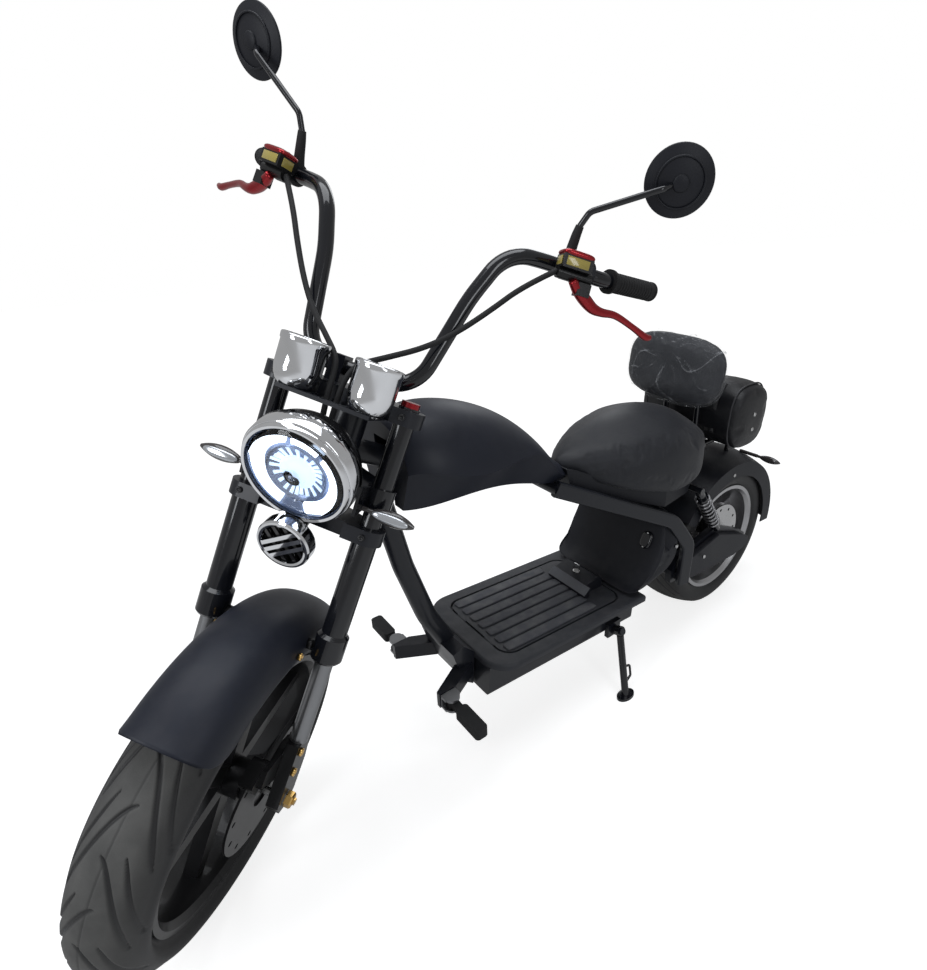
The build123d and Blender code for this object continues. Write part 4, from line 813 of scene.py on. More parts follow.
def bag_trim():
    """Piping round both ends of the bag, side pockets, straps over the top, and studs."""
    angle = np.linspace(0, 2 * np.pi, 90, endpoint=False)
    c, s = superellipse(angle, 3.0)
    shapes = []
    for side in SIDES:
        path = bike(np.stack([
            BAG_MIDDLE[0] + 0.0745 * c, np.full_like(c, side * 0.128), BAG_MIDDLE[1] + 0.0835 * s,
        ], axis=1))
        shapes.append(pipe(path, 0.0022, 8, closed=True))
    dress(piece("bag_piping", *many(shapes), "chassis"), "piping")
    pockets = []
    for side in SIDES:
        place = tilted((0.045, side * 0.147, 0.622), 0.0)
        origin, forward, left, up = place
        points, faces = pillow((origin, left * side, forward, up), 0.046, 0.042, 0.0065, 3.4, 5.0)
        pockets.append((points, faces))
    dress(piece("bag_pockets", *many(pockets), "chassis"), "bag_leather")
    straps = []
    flat = np.array([(-0.013, -0.0012), (0.013, -0.0012), (0.013, 0.0012), (-0.013, 0.0012)])
    for across in (-0.075, 0.075):
        turn = np.linspace(-0.35, np.pi + 0.35, 60)
        c, s = superellipse(turn, 3.0)
        middle = np.stack([
            BAG_MIDDLE[0] + 0.0752 * c, np.full_like(c, across), BAG_MIDDLE[1] + 0.0842 * s,
        ], axis=1)
        outward_way = np.stack([np.cos(turn), np.zeros_like(c), np.sin(turn)], axis=1)
        ring = middle[:, None] + flat[None, :, :1] * [0, 1, 0] + flat[None, :, 1:2] * outward_way[:, None]
        straps.append((bike(ring).reshape(-1, 3), capped(len(ring), len(flat))))
    dress(piece("bag_straps", *many(straps), "chassis"), "strap")
    studs = []
    for side in SIDES:
        for height in (0.606, 0.646):
            axes = turned(BIKE, (0.045, side * 0.1525, height), (0, side, 0))
            studs.append(lathe(axes, dome(0.0055, 0.003), 16))
    for across in (-0.075, 0.075):
        axes = turned(BIKE, (-0.0315, across, 0.63), (-1, 0, 0))
        studs.append(lathe(axes, dome(0.007, 0.003), 16))
    dress(piece("bag_studs", *many(studs), "chassis"), "bright")


def dome(radius, height):
    """Profile of a domed head: an ellipse's quarter over a short foot."""
    turn = np.linspace(0, np.pi / 2, 8)
    arc = np.stack([radius * np.cos(turn), height * (0.25 + 0.75 * np.sin(turn))], axis=1)
    return np.concatenate([[(radius, -0.001)], arc])


def bolt(axes, radius, height):
    """A cap screw: a round head with a socket sunk in it."""
    return lathe(axes, [
        (radius, -0.001), (radius, height * 0.8), (radius * 0.88, height),
        (radius * 0.52, height), (radius * 0.50, height * 0.45), (radius * 0.1, height * 0.45),
    ], 20)


LAMP_PLACE = (0.552, 0.0, 0.088)
LAMP_DIP = 3.7


def lamp_axes(dip=LAMP_DIP):
    """Axes of the headlight: its third axis points level ahead of the fork, dipped a little."""
    turn = RAKE + math.radians(dip)
    forward, side, up = FORK[1:]
    out = unit(math.cos(turn) * forward - math.sin(turn) * up)
    top = np.cross(out, side)
    return fork(LAMP_PLACE), side, top, out


def headlight_pieces():
    """Lens over a wide lit ring in three arcs, a dark blue bowl, and a cut-glass projector."""
    axes = lamp_axes()
    ring = [(0.0525, -0.0100), (0.0675, -0.0100), (0.0690, -0.0060), (0.0660, -0.0030),
            (0.0535, -0.0030), (0.0515, -0.0060)]
    arcs = []
    for start, span in ((1.92, 2.42), (0.98, 0.72), (-1.32, 2.12)):
        arcs.append(hoop(axes, ring, 60, start, span))
    dress(piece("lamp_ring", *many(arcs), "fork"), "led")
    bowl = [
        (0.0768, -0.0025), (0.0768, -0.0136), (0.0015, -0.0136), (0.0015, -0.0125),
        (0.0300, -0.0120), (0.0420, -0.0085), (0.0465, -0.0035), (0.0475, -0.0035),
        (0.0475, -0.0122), (0.0705, -0.0122), (0.0712, -0.0045), (0.0755, -0.0025),
    ]
    dress(piece("lamp_bowl", *hoop(axes, bowl, 96), "fork"), "bowl")
    eye = [(0.0280, -0.0125), (0.0280, -0.0090), (0.0262, -0.0066), (0.0210, -0.0042),
           (0.0120, -0.0028), (0.0010, -0.0024)]
    dress(piece("lamp_projector", *lathe(axes, eye, 60), "fork"), "projector")
    flutes = []
    for turn in np.linspace(0, 2 * np.pi, 22, endpoint=False):
        lean_turn = turn + 0.11 * math.sin(3 * turn)
        far = 0.0415 + 0.003 * math.sin(5 * turn)
        flat = np.array([(-0.0016, 0.0275), (0.0016, 0.0275), (0.0030, far), (-0.0030, far)])
        spun = np.stack([
            flat[:, 0] * np.cos(lean_turn) - flat[:, 1] * np.sin(lean_turn),
            flat[:, 0] * np.sin(lean_turn) + flat[:, 1] * np.cos(lean_turn),
        ], axis=1)
        low = np.concatenate([spun, np.array([[-0.0126], [-0.0126], [-0.0092], [-0.0092]])], axis=1)
        flutes.append((lay(axes, np.concatenate([low, low + [0, 0, 0.0022]])), BLOCK_FACES))
    dress(piece("lamp_flutes", *many(flutes), "fork"), "led_soft")
    cover = [(0.0774, -0.0020), (0.0600, 0.0006), (0.0400, 0.0020), (0.0200, 0.0027), (0.0005, 0.0030),
             (0.0005, 0.0018), (0.0200, 0.0015), (0.0400, 0.0008), (0.0600, -0.0006), (0.0774, -0.0033)]
    glass = piece("lamp_cover", *hoop(axes, cover, 96), "fork")
    dress(glass, "lamp_glass")
    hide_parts("headlight_lens")
    band = [(0.0858, -0.0040), (0.0876, -0.0075), (0.0884, -0.0200), (0.0884, -0.0330),
            (0.0872, -0.0342), (0.0840, -0.0330), (0.0840, -0.0045)]
    dress(piece("lamp_band", *hoop(axes, band, 120), "fork"), "chrome")


BLOCK_FACES = [(0, 3, 2, 1), (4, 5, 6, 7), (0, 1, 5, 4), (1, 2, 6, 5), (2, 3, 7, 6), (3, 0, 4, 7)]


def block(axes, low, high):
    """A box between two corners of some axes."""
    x, y, z = zip(low, high)
    corners = [(x[0], y[0], z[0]), (x[1], y[0], z[0]), (x[1], y[1], z[0]), (x[0], y[1], z[0]),
               (x[0], y[0], z[1]), (x[1], y[0], z[1]), (x[1], y[1], z[1]), (x[0], y[1], z[1])]
    return lay(axes, corners), BLOCK_FACES


def rounded(obj, width, segments=2):
    """Bevels a piece's edges and applies it."""
    bevel = obj.modifiers.new("bevel", "BEVEL")
    bevel.width = width
    bevel.segments = segments
    bevel.limit_method = "ANGLE"
    bpy.context.view_layer.objects.active = obj
    bpy.ops.object.modifier_apply(modifier=bevel.name)
    return obj


def fasteners():
    """Gold bolts on the fork feet and mudguard, gold axle nuts, dark clamp bolts, body screws."""
    gold = []
    dark = []
    for side in SIDES:
        axes = turned(FORK, (0, 0, 0), (0, side, 0))
        for up, ahead in ((0.098, 0.010), (0.062, 0.014)):
            gold.append(bolt((fork((up, side * 0.1148, ahead)), *axes[1:]), 0.0068, 0.0055))
        gold.append(bolt((fork((0.268, side * 0.0715, 0.034)), *axes[1:]), 0.0060, 0.0050))
        front = turned(FORK, (0, 0, 0), (1, 0, 0), (0, 1, 0))
        for up in (0.483, 0.677):
            dark.append(bolt((fork((up, side * 0.1035, 0.0258)), *front[1:]), 0.0052, 0.0040))
    dress(piece("gold_bolts", *many(gold), "fork"), "gold")
    dress(piece("clamp_bolts", *many(dark), "fork"), "dark_steel")
    nuts = []
    hexagon = [(0.0135, -0.006), (0.0135, 0.0040), (0.0115, 0.0065), (0.0060, 0.0065),
               (0.0060, 0.0105), (0.0010, 0.0105)]
    for side in SIDES:
        axes = turned(FORK, (0, 0, 0), (0, side, 0))
        nuts.append(lathe((fork((0.0, side * 0.122, 0.0)), *axes[1:]), hexagon, 6))
    dress(piece("axle_nuts", *many(nuts), "fork", smooth=False), "gold")
    screws = []
    for side in SIDES:
        for ahead, out, up in ((0.309, 0.1495, 0.356), (0.184, 0.158, 0.276), (0.012, 0.1105, 0.448)):
            axes = turned(BIKE, (ahead, side * out, up), (0, side, 0))
            screws.append(bolt(axes, 0.0052, 0.0034))
    dress(piece("body_screws", *many(screws), "chassis"), "bright")


def mirror_faces():
    """Mirror glass set in each shell, a shallow dome facing back, and a ridge round each back."""
    glass = []
    ridges = []
    for side in SIDES:
        axes = turned(FORK, (-0.114, side * 0.362, 1.160), (-0.87, -0.25 * side, 0.5))
        glass.append(lathe(axes, [
            (0.0510, -0.0010), (0.0510, 0.0008), (0.0495, 0.0012), (0.0300, 0.0018), (0.0005, 0.0021),
        ], 64))
        ridges.append(hoop(axes, [
            (0.0360, -0.0105), (0.0360, -0.0138), (0.0375, -0.0142), (0.0390, -0.0132), (0.0390, -0.0100),
        ], 72))
        ridges.append(lathe(axes, [
            (0.0130, -0.0150), (0.0130, -0.0178), (0.0110, -0.0192), (0.0010, -0.0195),
        ], 32))
    dress(piece("mirror_glass", *many(glass), "fork"), "mirror_face")
    dress(piece("mirror_ridges", *many(ridges), "fork"), "black_plastic")


def grip_rings():
    """Rubber ribs round both grips, evenly spaced along them, as small hoops."""
    shapes = []
    rib = [(0.0155, -0.0022), (0.0168, -0.0014), (0.0168, 0.0014), (0.0155, 0.0022)]
    for side in SIDES:
        way = unit((-0.100, side * 0.083, 0.030))
        end = np.array((-0.250, side * 0.386, 1.022))
        for back in np.arange(0.012, 0.104, 0.0072):
            shapes.append(hoop(turned(FORK, end - back * way, way), rib, 32))
    dress(piece("grip_ribs", *many(shapes), "fork"), "rubber")


def gauges():
    """Bright bullet cups with a rolled lip, and their dark dials with ticks and a needle."""
    cups, faces, marks = [], [], []
    cup = [
        (0.0010, 0.0000), (0.0090, 0.0010), (0.0190, 0.0050), (0.0270, 0.0120), (0.0320, 0.0210),
        (0.0345, 0.0330), (0.0348, 0.0690), (0.0362, 0.0705), (0.0366, 0.0775), (0.0355, 0.0800),
        (0.0325, 0.0808), (0.0305, 0.0795), (0.0300, 0.0740), (0.0010, 0.0740),
    ]
    dial = [(0.0300, 0.0735), (0.0300, 0.0752), (0.0290, 0.0758), (0.0010, 0.0762)]
    for side in SIDES:
        axes = turned(FORK, (0.050, side * 0.058, 0.659), (0, 0, 1), (0, 1, 0))
        cups.append(lathe(axes, cup, 72))
        faces.append(lathe(axes, dial, 48))
        for turn in np.radians(np.arange(-130, 131, 20)):
            spoke = (axes[0], *turned_about(axes, turn))
            marks.append(block(spoke, (0.0235, -0.0005, 0.0757), (0.0275, 0.0005, 0.0764)))
        needle = (axes[0], *turned_about(axes, math.radians(-118)))
        marks.append(block(needle, (-0.004, -0.0007, 0.0768), (0.0225, 0.0007, 0.0773)))
    shells = piece("gauge_shells", *many(cups), "fork")
    dress(shells, "chrome")
    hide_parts("gauge_cups")
    dress(piece("gauge_dials", *many(faces), "fork"), "dial")
    dress(piece("gauge_marks", *many(marks), "fork"), "ink")


def turned_about(axes, turn):
    """The directions of some axes, turned about their third one."""
    across, along, out = axes[1:]
    return (
        math.cos(turn) * across + math.sin(turn) * along,
        math.cos(turn) * along - math.sin(turn) * across, out,
    )


def horn_trim():
    """Bright ring round the horn's mouth, and its three slanted bars."""
    side, top, out = lamp_axes(0.0)[1:]
    axes = (fork((0.440, 0.0, 0.047)), side, top, out)
    ring = [(0.0422, -0.0150), (0.0432, -0.0120), (0.0436, 0.0060), (0.0420, 0.0098),
            (0.0385, 0.0106), (0.0350, 0.0092), (0.0350, 0.0070), (0.0405, 0.0050)]
    shapes = [hoop(axes, ring, 80)]
    slanted = (axes[0], *turned_about(axes, math.radians(38)))
    for offset in (-0.0125, 0.0, 0.0125):
        reach = math.sqrt(0.0365 ** 2 - offset ** 2)
        shapes.append(block(slanted, (-reach, offset - 0.0034, 0.0062), (reach, offset + 0.0034, 0.0096)))
    dress(piece("horn_trim", *many(shapes), "fork", smooth=False), "chrome")


def control_axes(side):
    """Axes of the brake control: outwards along the bar, forwards, and up."""
    along = unit((-0.044, side * 0.098, 0.012))
    up = unit(np.array((0.0, 0.0, 1.0)) - along * along[2])
    forwards = np.cross(up, along) * -side
    basis = np.array(FORK[1:])
    place = fork((0.9849, side * 0.2449, -0.1239))
    return place, along @ basis, forwards @ basis, up @ basis


LEVER_PATH = np.array([
    (0.962, 0.262, -0.084), (0.953, 0.275, -0.096), (0.945, 0.290, -0.108), (0.938, 0.306, -0.116),
    (0.938, 0.322, -0.124), (0.943, 0.345, -0.139), (0.939, 0.378, -0.162), (0.934, 0.404, -0.180),
    (0.936, 0.414, -0.187),
])
LEVER_WIDTH = np.array([0.0070, 0.0098, 0.0105, 0.0092, 0.0072, 0.0060, 0.0054, 0.0062, 0.0050])


def controls():
    """Levers as pipes of changing width, domed reservoir lids, windows, stem boots and buttons."""
    levers, lids, windows, boots, buttons = [], [], [], [], []
    for side in SIDES:
        path = through(LEVER_PATH * [1, side, 1], 70)
        width = through(LEVER_WIDTH[:, None], 70)[:, 0]
        levers.append(pipe(fork(path), width, 16, hint=FORK[3]))
        axes = control_axes(side)
        along, forwards, up = axes[1:]
        middle = lay(axes, (-0.004, 0.038, 0.0150))
        lids.append(pillow((middle, up, along, forwards), 0.0275, 0.0195, 0.0058, 4.5, 5.0, 16, 72))
        for at in (-0.022, 0.014):
            spot = lay(axes, (at, 0.038, 0.0195))
            lids.append(lathe((spot, along, forwards, up), dome(0.0030, 0.0015), 12))
        windows.append(block(axes, (-0.024, 0.0540, -0.0045), (0.014, 0.0562, 0.0090)))
        windows.append(block(axes, (-0.0305, 0.028, -0.0045), (-0.0288, 0.048, 0.0090)))
        foot = np.array([(0.996, side * 0.2405, -0.1215), (1.012, side * 0.2407, -0.1150),
                         (1.034, side * 0.2410, -0.1080), (1.048, side * 0.2420, -0.1045)])
        boots.append(pipe(fork(through(foot, 24)), np.linspace(0.0095, 0.0066, 24), 20))
        run = (lay(axes, (0.030, 0.0, 0.0)), along, forwards, up)
        for at, turn in ((0.006, 0.9), (-0.004, 2.1)):
            spot = lay(run, (at, 0.0200 * math.cos(turn), 0.0200 * math.sin(turn)))
            out = math.cos(turn) * forwards + math.sin(turn) * up
            buttons.append(lathe((spot, along, np.cross(out, along), out), dome(0.0048, 0.0026), 20))
    metal = piece("lever_blades", *many(levers), "fork")
    dress(metal, "red_metal")
    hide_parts("brake_levers")
    tops = piece("reservoir_lids", *many(lids), "fork")
    dress(tops, "red_metal")
    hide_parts("reservoir_caps")
    dress(rounded(piece("reservoir_windows", *many(windows), "fork"), 0.0006), "amber")
    dress(piece("stem_boots", *many(boots), "fork"), "rubber")
    dress(piece("switch_buttons", *many(buttons), "fork"), "case")


HOSE_POINTS = [
    (0.925, 0.196, -0.058), (0.872, 0.163, -0.042), (0.822, 0.128, -0.026), (0.783, 0.092, -0.008),
    (0.752, 0.050, 0.012), (0.728, 0.017, 0.030), (0.702, 0.009, 0.040), (0.668, 0.008, 0.042),
    (0.618, 0.006, 0.034),
]
CALIPER_HOSE_POINTS = [
    (0.4707, 0.076, -0.014), (0.432, 0.090, -0.036), (0.300, 0.098, -0.041), (0.172, 0.093, -0.038),
    (0.132, 0.081, -0.008), (0.111, 0.080, 0.032), (0.092, 0.080, 0.050),
]


def hose(name, route):
    """One brake hose: a NURBS tube along a route, both ends of which go into the object."""
    curve = bpy.data.curves.new(name, "CURVE")
    curve.dimensions = "3D"
    curve.bevel_depth = HOSE_THICKNESS / 2
    curve.bevel_resolution = 4
    curve.resolution_u = 12
    spline = curve.splines.new("NURBS")
    spline.points.add(len(route) - 1)
    for point, place in zip(spline.points, route):
        point.co = (*place, 1.0)
    spline.order_u = 3
    spline.use_endpoint_u = True
    obj = linked(name, curve)
    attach(obj, "fork")
    dress(obj, "rubber")
    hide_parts("brake_hoses")


def hoses():
    """Both master cylinders' hoses down into the headlight, and the hose to the front caliper."""
    for name, side in (("left_hose", 1), ("right_hose", -1)):
        start = lay(control_axes(side), (-0.0293, 0.034, -0.014))
        hose(name, [start, *fork(np.array(HOSE_POINTS) * [1, side, 1])])
    hose("caliper_hose", fork(np.array(CALIPER_HOSE_POINTS)))


def signal_windows():
    """Pale lens windows set in the front signals."""
    shapes = []
    for side in SIDES:
        place = fork((0.530, side * 0.140, 0.0425))
        axes = (place, FORK[1], FORK[2] * side, FORK[3])
        shapes.append(pillow(axes, 0.0290, 0.0075, 0.0046, 2.2, 2.6, 16, 64))
    dress(piece("signal_windows", *many(shapes), "fork"), "window")


def front_mudguard():
    """Mudguard as point(angle, v): an arch about the axle whose corners are cut round at both ends.

    Across, v runs by length along a superellipse arch; near an end at angle a, what is left of
    the arch is 1 - cut * (1 - sqrt(1 - d ^ 2)), with d how far into the corner the angle is.
    """
    rows, columns = 110, 61
    turn = np.linspace(0, np.pi, 400)
    c, s = superellipse(turn, 2.5)
    arch = np.stack([c * GUARD_HALF_WIDTH, GUARD_SKIRT + GUARD_RISE * s], axis=1)
    length = np.concatenate([[0], np.cumsum(np.linalg.norm(np.diff(arch, axis=0), axis=1))])
    start, end = math.radians(-44.5), math.radians(50.5)
    angle = np.linspace(start, end, rows)
    near = np.minimum(angle - start, end - angle) * 0.300
    deep = np.clip(1 - near / GUARD_CORNER, 0, 1)
    cut = GUARD_CORNER / (length[-1] / 2)
    left = 1 - cut * (1 - np.sqrt(np.clip(1 - deep ** 2, 0, 1)))
    v = np.linspace(-1, 1, columns)[None, :] * left[:, None]
    at = (v + 1) / 2 * length[-1]
    side = np.interp(at, length, arch[:, 0])
    radius = np.interp(at, length, arch[:, 1])
    flare = 0.004 * np.clip(1 - near / 0.03, 0, 1)[:, None] ** 2
    shells = []
    for inset in (0.0, GUARD_SHEET):
        out = (radius + flare - inset)[..., None]
        shells.append(np.concatenate([
            out * np.cos(angle)[:, None, None], (side * (1 - inset / GUARD_HALF_WIDTH))[..., None],
            out * np.sin(angle)[:, None, None],
        ], axis=-1))
    ring = np.concatenate([shells[0], shells[1][:, ::-1]], axis=1)
    count = 2 * columns
    faces = list(closed_grid(rows, count, False, True))
    j = np.arange(columns - 1)
    for row, flip in ((0, 1), (rows - 1, -1)):
        quads = np.stack([j, j + 1, count - 2 - j, count - 1 - j], axis=1) + row * count
        faces.extend(quads[:, ::flip])
    guard = piece("mudguard", fork(ring), faces, "fork")
    dress(guard, "tank_paint")
    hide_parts("front_fender")
    stays = []
    for side in SIDES:
        path = np.array([(0.276, side * 0.0665, 0.0), (0.276, side * 0.078, 0.0)])
        stays.append(pipe(fork(path), 0.009, 24))
    dress(piece("mudguard_stays", *many(stays), "fork"), "cast")


RISER_OUTLINE = [
    (0.452, 0.2560), (0.428, 0.2660), (0.408, 0.2850), (0.391, 0.3120), (0.374, 0.3450),
    (0.356, 0.3850), (0.338, 0.4220), (0.322, 0.4460), (0.302, 0.4400), (0.289, 0.4100),
    (0.285, 0.3700), (0.290, 0.3300), (0.306, 0.3000), (0.336, 0.2800), (0.380, 0.2640),
    (0.420, 0.2535),
]


def riser_cover():
    """Cover behind the deck: a swept outline carried across the bike, drawn in at both sides.

    point(p, s) = middle + (outline(p) - middle) * (0.3 + 0.7 * (1 - |s| ^ 7) ^ (1 / 7)), and
    s times the half width, which comes from the height.
    """
    rows, columns = 160, 81
    outline = through(RISER_OUTLINE, rows, closed=True)
    middle = np.array((0.352, 0.335))
    s = np.sin(np.linspace(-np.pi / 2, np.pi / 2, columns))
    draw = 0.30 + 0.70 * (1 - np.abs(s) ** 7) ** (1 / 7)
    flat = middle + (outline[:, None] - middle) * draw[None, :, None]
    heights = (0.25, 0.285, 0.33, 0.39, 0.45)
    half = np.interp(outline[:, 1], heights, (0.1400, 0.1480, 0.1500, 0.1470, 0.1260))
    side = half[:, None] * s[None, :]
    points = np.stack([flat[..., 0], side, flat[..., 1]], axis=-1).transpose(1, 0, 2)
    cover = piece("riser_cover", bike(points), capped(columns, rows), "chassis")
    dress(cover, "black_plastic")
    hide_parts("shroud")
    axes = turned(BIKE, (0.3650, 0.098, 0.3720), (0.9, 0.0, 0.42), (0, 1, 0))
    place, across, along, out = axes
    oval = pillow((place, out, across, along), 0.0230, 0.0160, 0.0050, 2.6, 5.0, 16, 64)
    cap = piece("charge_cap", *oval, "chassis")
    dress(cap, "gloss_paint")
    pins = []
    for shift in (-0.019, 0.019):
        spot = lay((place, across, along, out), (shift, 0.0, 0.0045))
        pins.append(lathe((spot, across, along, out), dome(0.0026, 0.0016), 12))
    dress(piece("charge_pins", *many(pins), "chassis"), "bright")


DECK_AXES = tilted((0.642, 0.0, 0.262), -4.0)


def deck_trim():
    """Pale rubber strips along the lid, the grey lever of its lock, and the key in it."""
    ahead, left, up = DECK_AXES[1:]
    strips = []
    for k in range(7):
        at = lay(DECK_AXES, (0.040, (k - 3) * 0.0312, 0.0018))
        strips.append(pillow((at, up, left, ahead), 0.0128, 0.1400, 0.0026, 9.0, 9.0, 10, 60))
    dress(piece("deck_strips", *many(strips), "battery_cover"), "strip")
    low, high = np.array((-0.0955, 0.0085)), np.array((-0.1125, 0.0262))
    out = unit((0.017, 0.016)) * 0.0016
    corners = []
    for side in (-0.064, 0.066):
        for point in (low, high, high + out, low + out):
            corners.append((point[0], side, point[1]))
    faces = [(0, 1, 2, 3), (4, 7, 6, 5), (0, 4, 5, 1), (1, 5, 6, 2), (2, 6, 7, 3), (3, 7, 4, 0)]
    plate = piece("lock_plate", lay(DECK_AXES, corners), faces, "battery_cover", smooth=False)
    dress(rounded(plate, 0.0005), "lever_grey")
    lock = (lay(DECK_AXES, (-0.137, -0.006, 0.0295)), ahead, left, up)
    barrel = lathe(lock, [(0.0100, -0.002), (0.0100, 0.0030), (0.0088, 0.0042), (0.0010, 0.0042)], 32)
    blade = block(lock, (-0.0012, -0.0090, 0.0040), (0.0012, 0.0090, 0.0220))
    dress(piece("lock_key", *many([barrel, blade]), "battery_cover", smooth=False), "bright")


def spring(name, start, end, radius, wire, turns):
    """A coil spring: wire carried along a helix from one point to another."""
    out = unit(end - start)
    across = unit(np.cross((0.3, 0.9, 0.1), out))
    along = np.cross(out, across)
    t = np.linspace(0, 1, int(turns * 20))
    angle = 2 * np.pi * turns * t
    path = (
        start + t[:, None] * (end - start) + radius * np.cos(angle)[:, None] * across
        + radius * np.sin(angle)[:, None] * along
    )
    coil = piece(name, *pipe(path, wire, 8, hint=out), "chassis")
    dress(coil, "spring_steel")


def shock_springs():
    """Coil springs round both rear shocks."""
    for side, name in ((1, "left_shock_spring"), (-1, "right_shock_spring")):
        low = np.array((0.098, side * 0.131, 0.320))
        high = np.array((0.212, side * 0.131, 0.474))
        start, end = low + 0.18 * (high - low), low + 0.84 * (high - low)
        spring(name, bike(start), bike(end), 0.0168, 0.0030, 8)


# Where each CAD node gets its finish

NODE_FINISHES = {
    "satin_paint": ("frame", "seat_rails", "deck_tray", "swingarm", "lower_clamp", "upper_clamp"),
    "gloss_paint": (
        "fork_tubes", "handlebar", "luggage_rack", "headlight_ears", "mirror_stems", "shocks",
        "side_stand",
    ),
    "tank_paint": ("tank", "front_fender"),
    "gloss_shell": ("headlight_bucket", "horn"),
    "black_plastic": (
        "shroud", "seat_base", "swingarm_covers", "rear_fender", "switch_housings", "lid_lock",
        "mirrors",
    ),
    "cast": ("front_rim", "fork_feet", "rear_caliper", "front_caliper", "brake_masters"),
    "deck_plastic": ("footboard", "battery_lid"),
    "case": ("battery",),
    "silver": ("fork_sliders", "peg_clevises"),
    "rear_alloy": ("rear_rim",),
    "bright": ("rear_axle", "front_axle", "rear_disc"),
    "dark_steel": ("front_disc",),
    "chrome": ("gauge_cups", "headlight_bezel"),
    "red_metal": ("brake_levers", "reservoir_caps", "fork_caps"),
    "rubber": ("grips", "left_peg", "right_peg", "brake_hoses"),
    "signal_lens": ("front_signals", "rear_signals"),
    "red_lens": ("tail_lamp",),
}


def make_finishes(colours):
    """Builds the shader groups and every finish."""
    GROUPS["grain"] = grain_group()
    GROUPS["dust"] = dust_group()
    GROUPS["hide"] = hide_group()
    paint = tuple(colours.paint)
    plastic = tuple(colours.plastic)
    made = {
        "satin_paint": coated("satin_paint", paint, 0.38, 900, 0.03, coat=0.25, dust=0.05),
        "gloss_paint": coated(
            "gloss_paint", (0.0060, 0.0068, 0.0100), 0.16, 700, 0.01, coat=0.55, spread=0.04
        ),
        "tank_paint": coated("tank_paint", tuple(colours.tank), 0.46, 900, 0.05, dust=0.04),
        "gloss_shell": coated("gloss_shell", (0.010, 0.010, 0.011), 0.2, 700, 0.01, coat=0.6),
        "black_plastic": coated("black_plastic", plastic, 0.5, 1200, 0.15, dust=0.06),
        "cast": coated("cast", (0.012, 0.012, 0.013), 0.36, 500, 0.12, metal=0.35, coat=0.2),
        "deck_plastic": coated("deck_plastic", tuple(colours.deck), 0.5, 1400, 0.25, dust=0.1),
        "case": coated("case", (0.03, 0.03, 0.032), 0.6, 900, 0.1),
        "silver": coated("silver", (0.27, 0.275, 0.285), 0.34, 500, 0.06, metal=0.9, dust=0.08),
        "rear_alloy": coated("rear_alloy", (0.46, 0.46, 0.47), 0.3, 500, 0.05, metal=0.9, dust=0.1),
        "bright": coated("bright", (0.5, 0.5, 0.5), 0.26, 1500, 0.05, metal=1.0),
        "chrome": coated("chrome", (0.78, 0.79, 0.81), 0.06, 900, 0.005, metal=1.0, spread=0.03),
        "red_metal": coated("red_metal", tuple(colours.red), 0.26, 1200, 0.03, metal=0.75, coat=0.3),
        "rubber": coated("rubber", (0.018, 0.018, 0.019), 0.72, 1000, 0.3),
        "signal_lens": coated("signal_lens", (0.05, 0.045, 0.045), 0.12, 500, 0.01, coat=0.9),
        "red_lens": coated("red_lens", (0.20, 0.006, 0.008), 0.12, 500, 0.01, coat=0.9),
        "gold": coated("gold", (0.75, 0.48, 0.16), 0.24, 900, 0.02, metal=1.0),
        "bowl": coated("bowl", (0.12, 0.16, 0.26), 0.22, 200, 0.02, metal=0.7, coat=0.3),
        "strap": coated("strap", (0.016, 0.016, 0.018), 0.45, 800, 0.3),
        "piping": coated("piping", (0.05, 0.05, 0.055), 0.4, 800, 0.2),
        "spring_steel": coated("spring_steel", (0.30, 0.30, 0.31), 0.3, 900, 0.03, metal=0.9),
        "mirror_face": coated("mirror_face", (0.85, 0.86, 0.88), 0.04, 900, 0.0, metal=1.0, spread=0.01),
        "dial": coated("dial", (0.02, 0.02, 0.022), 0.35, 900, 0.02),
        "dark_steel": coated("dark_steel", (0.045, 0.045, 0.047), 0.34, 900, 0.04, metal=0.8),
        "window": coated("window", (0.55, 0.57, 0.60), 0.16, 300, 0.02, metal=0.6, coat=0.6),
        "strip": coated("strip", (0.085, 0.088, 0.100), 0.62, 700, 0.2, dust=0.3),
        "lever_grey": coated("lever_grey", (0.150, 0.155, 0.170), 0.45, 900, 0.08, dust=0.1),
        "ink": coated("ink", (0.75, 0.75, 0.75), 0.5, 900, 0.0),
        "amber": coated("amber", (0.45, 0.36, 0.08), 0.15, 300, 0.01, coat=0.8),
        "seat_vinyl": hide("seat_vinyl", (0.0095, 0.0108, 0.0155), 0.52, 700, 0.35, 0.16, sheen=0.1),
        "bag_leather": hide("bag_leather", (0.0075, 0.0078, 0.0100), 0.40, 420, 0.7, 0.35),
        "led": glow("led", (0.86, 0.93, 1.0), 3.2),
        "led_soft": glow("led_soft", (0.70, 0.84, 1.0), 0.9),
        "projector": glow("projector", (0.66, 0.80, 1.0), 0.85),
        "lamp_glass": clear("lamp_glass", (0.93, 0.96, 1.0), 0.03),
        "film": film(),
        "tread": tread_finish(),
    }
    FINISHES.update(made)
    for finish, nodes in NODE_FINISHES.items():
        for node in nodes:
            slots = NODES[node].material_slots
            for slot in slots:
                slot.material = FINISHES[finish]
            if not slots:
                NODES[node].data.materials.append(FINISHES[finish])


# Stage

def seen_white(tree, glossy):
    """A mask of 1 to the camera and through glass, and of its own strength in reflections."""
    path = tree.nodes.new("ShaderNodeLightPath")
    seen = computed(tree, "MULTIPLY", path.outputs["Is Glossy Ray"], glossy)
    for name in ("Is Camera Ray", "Is Transmission Ray"):
        seen = computed(tree, "MAXIMUM", seen, path.outputs[name])
    return seen


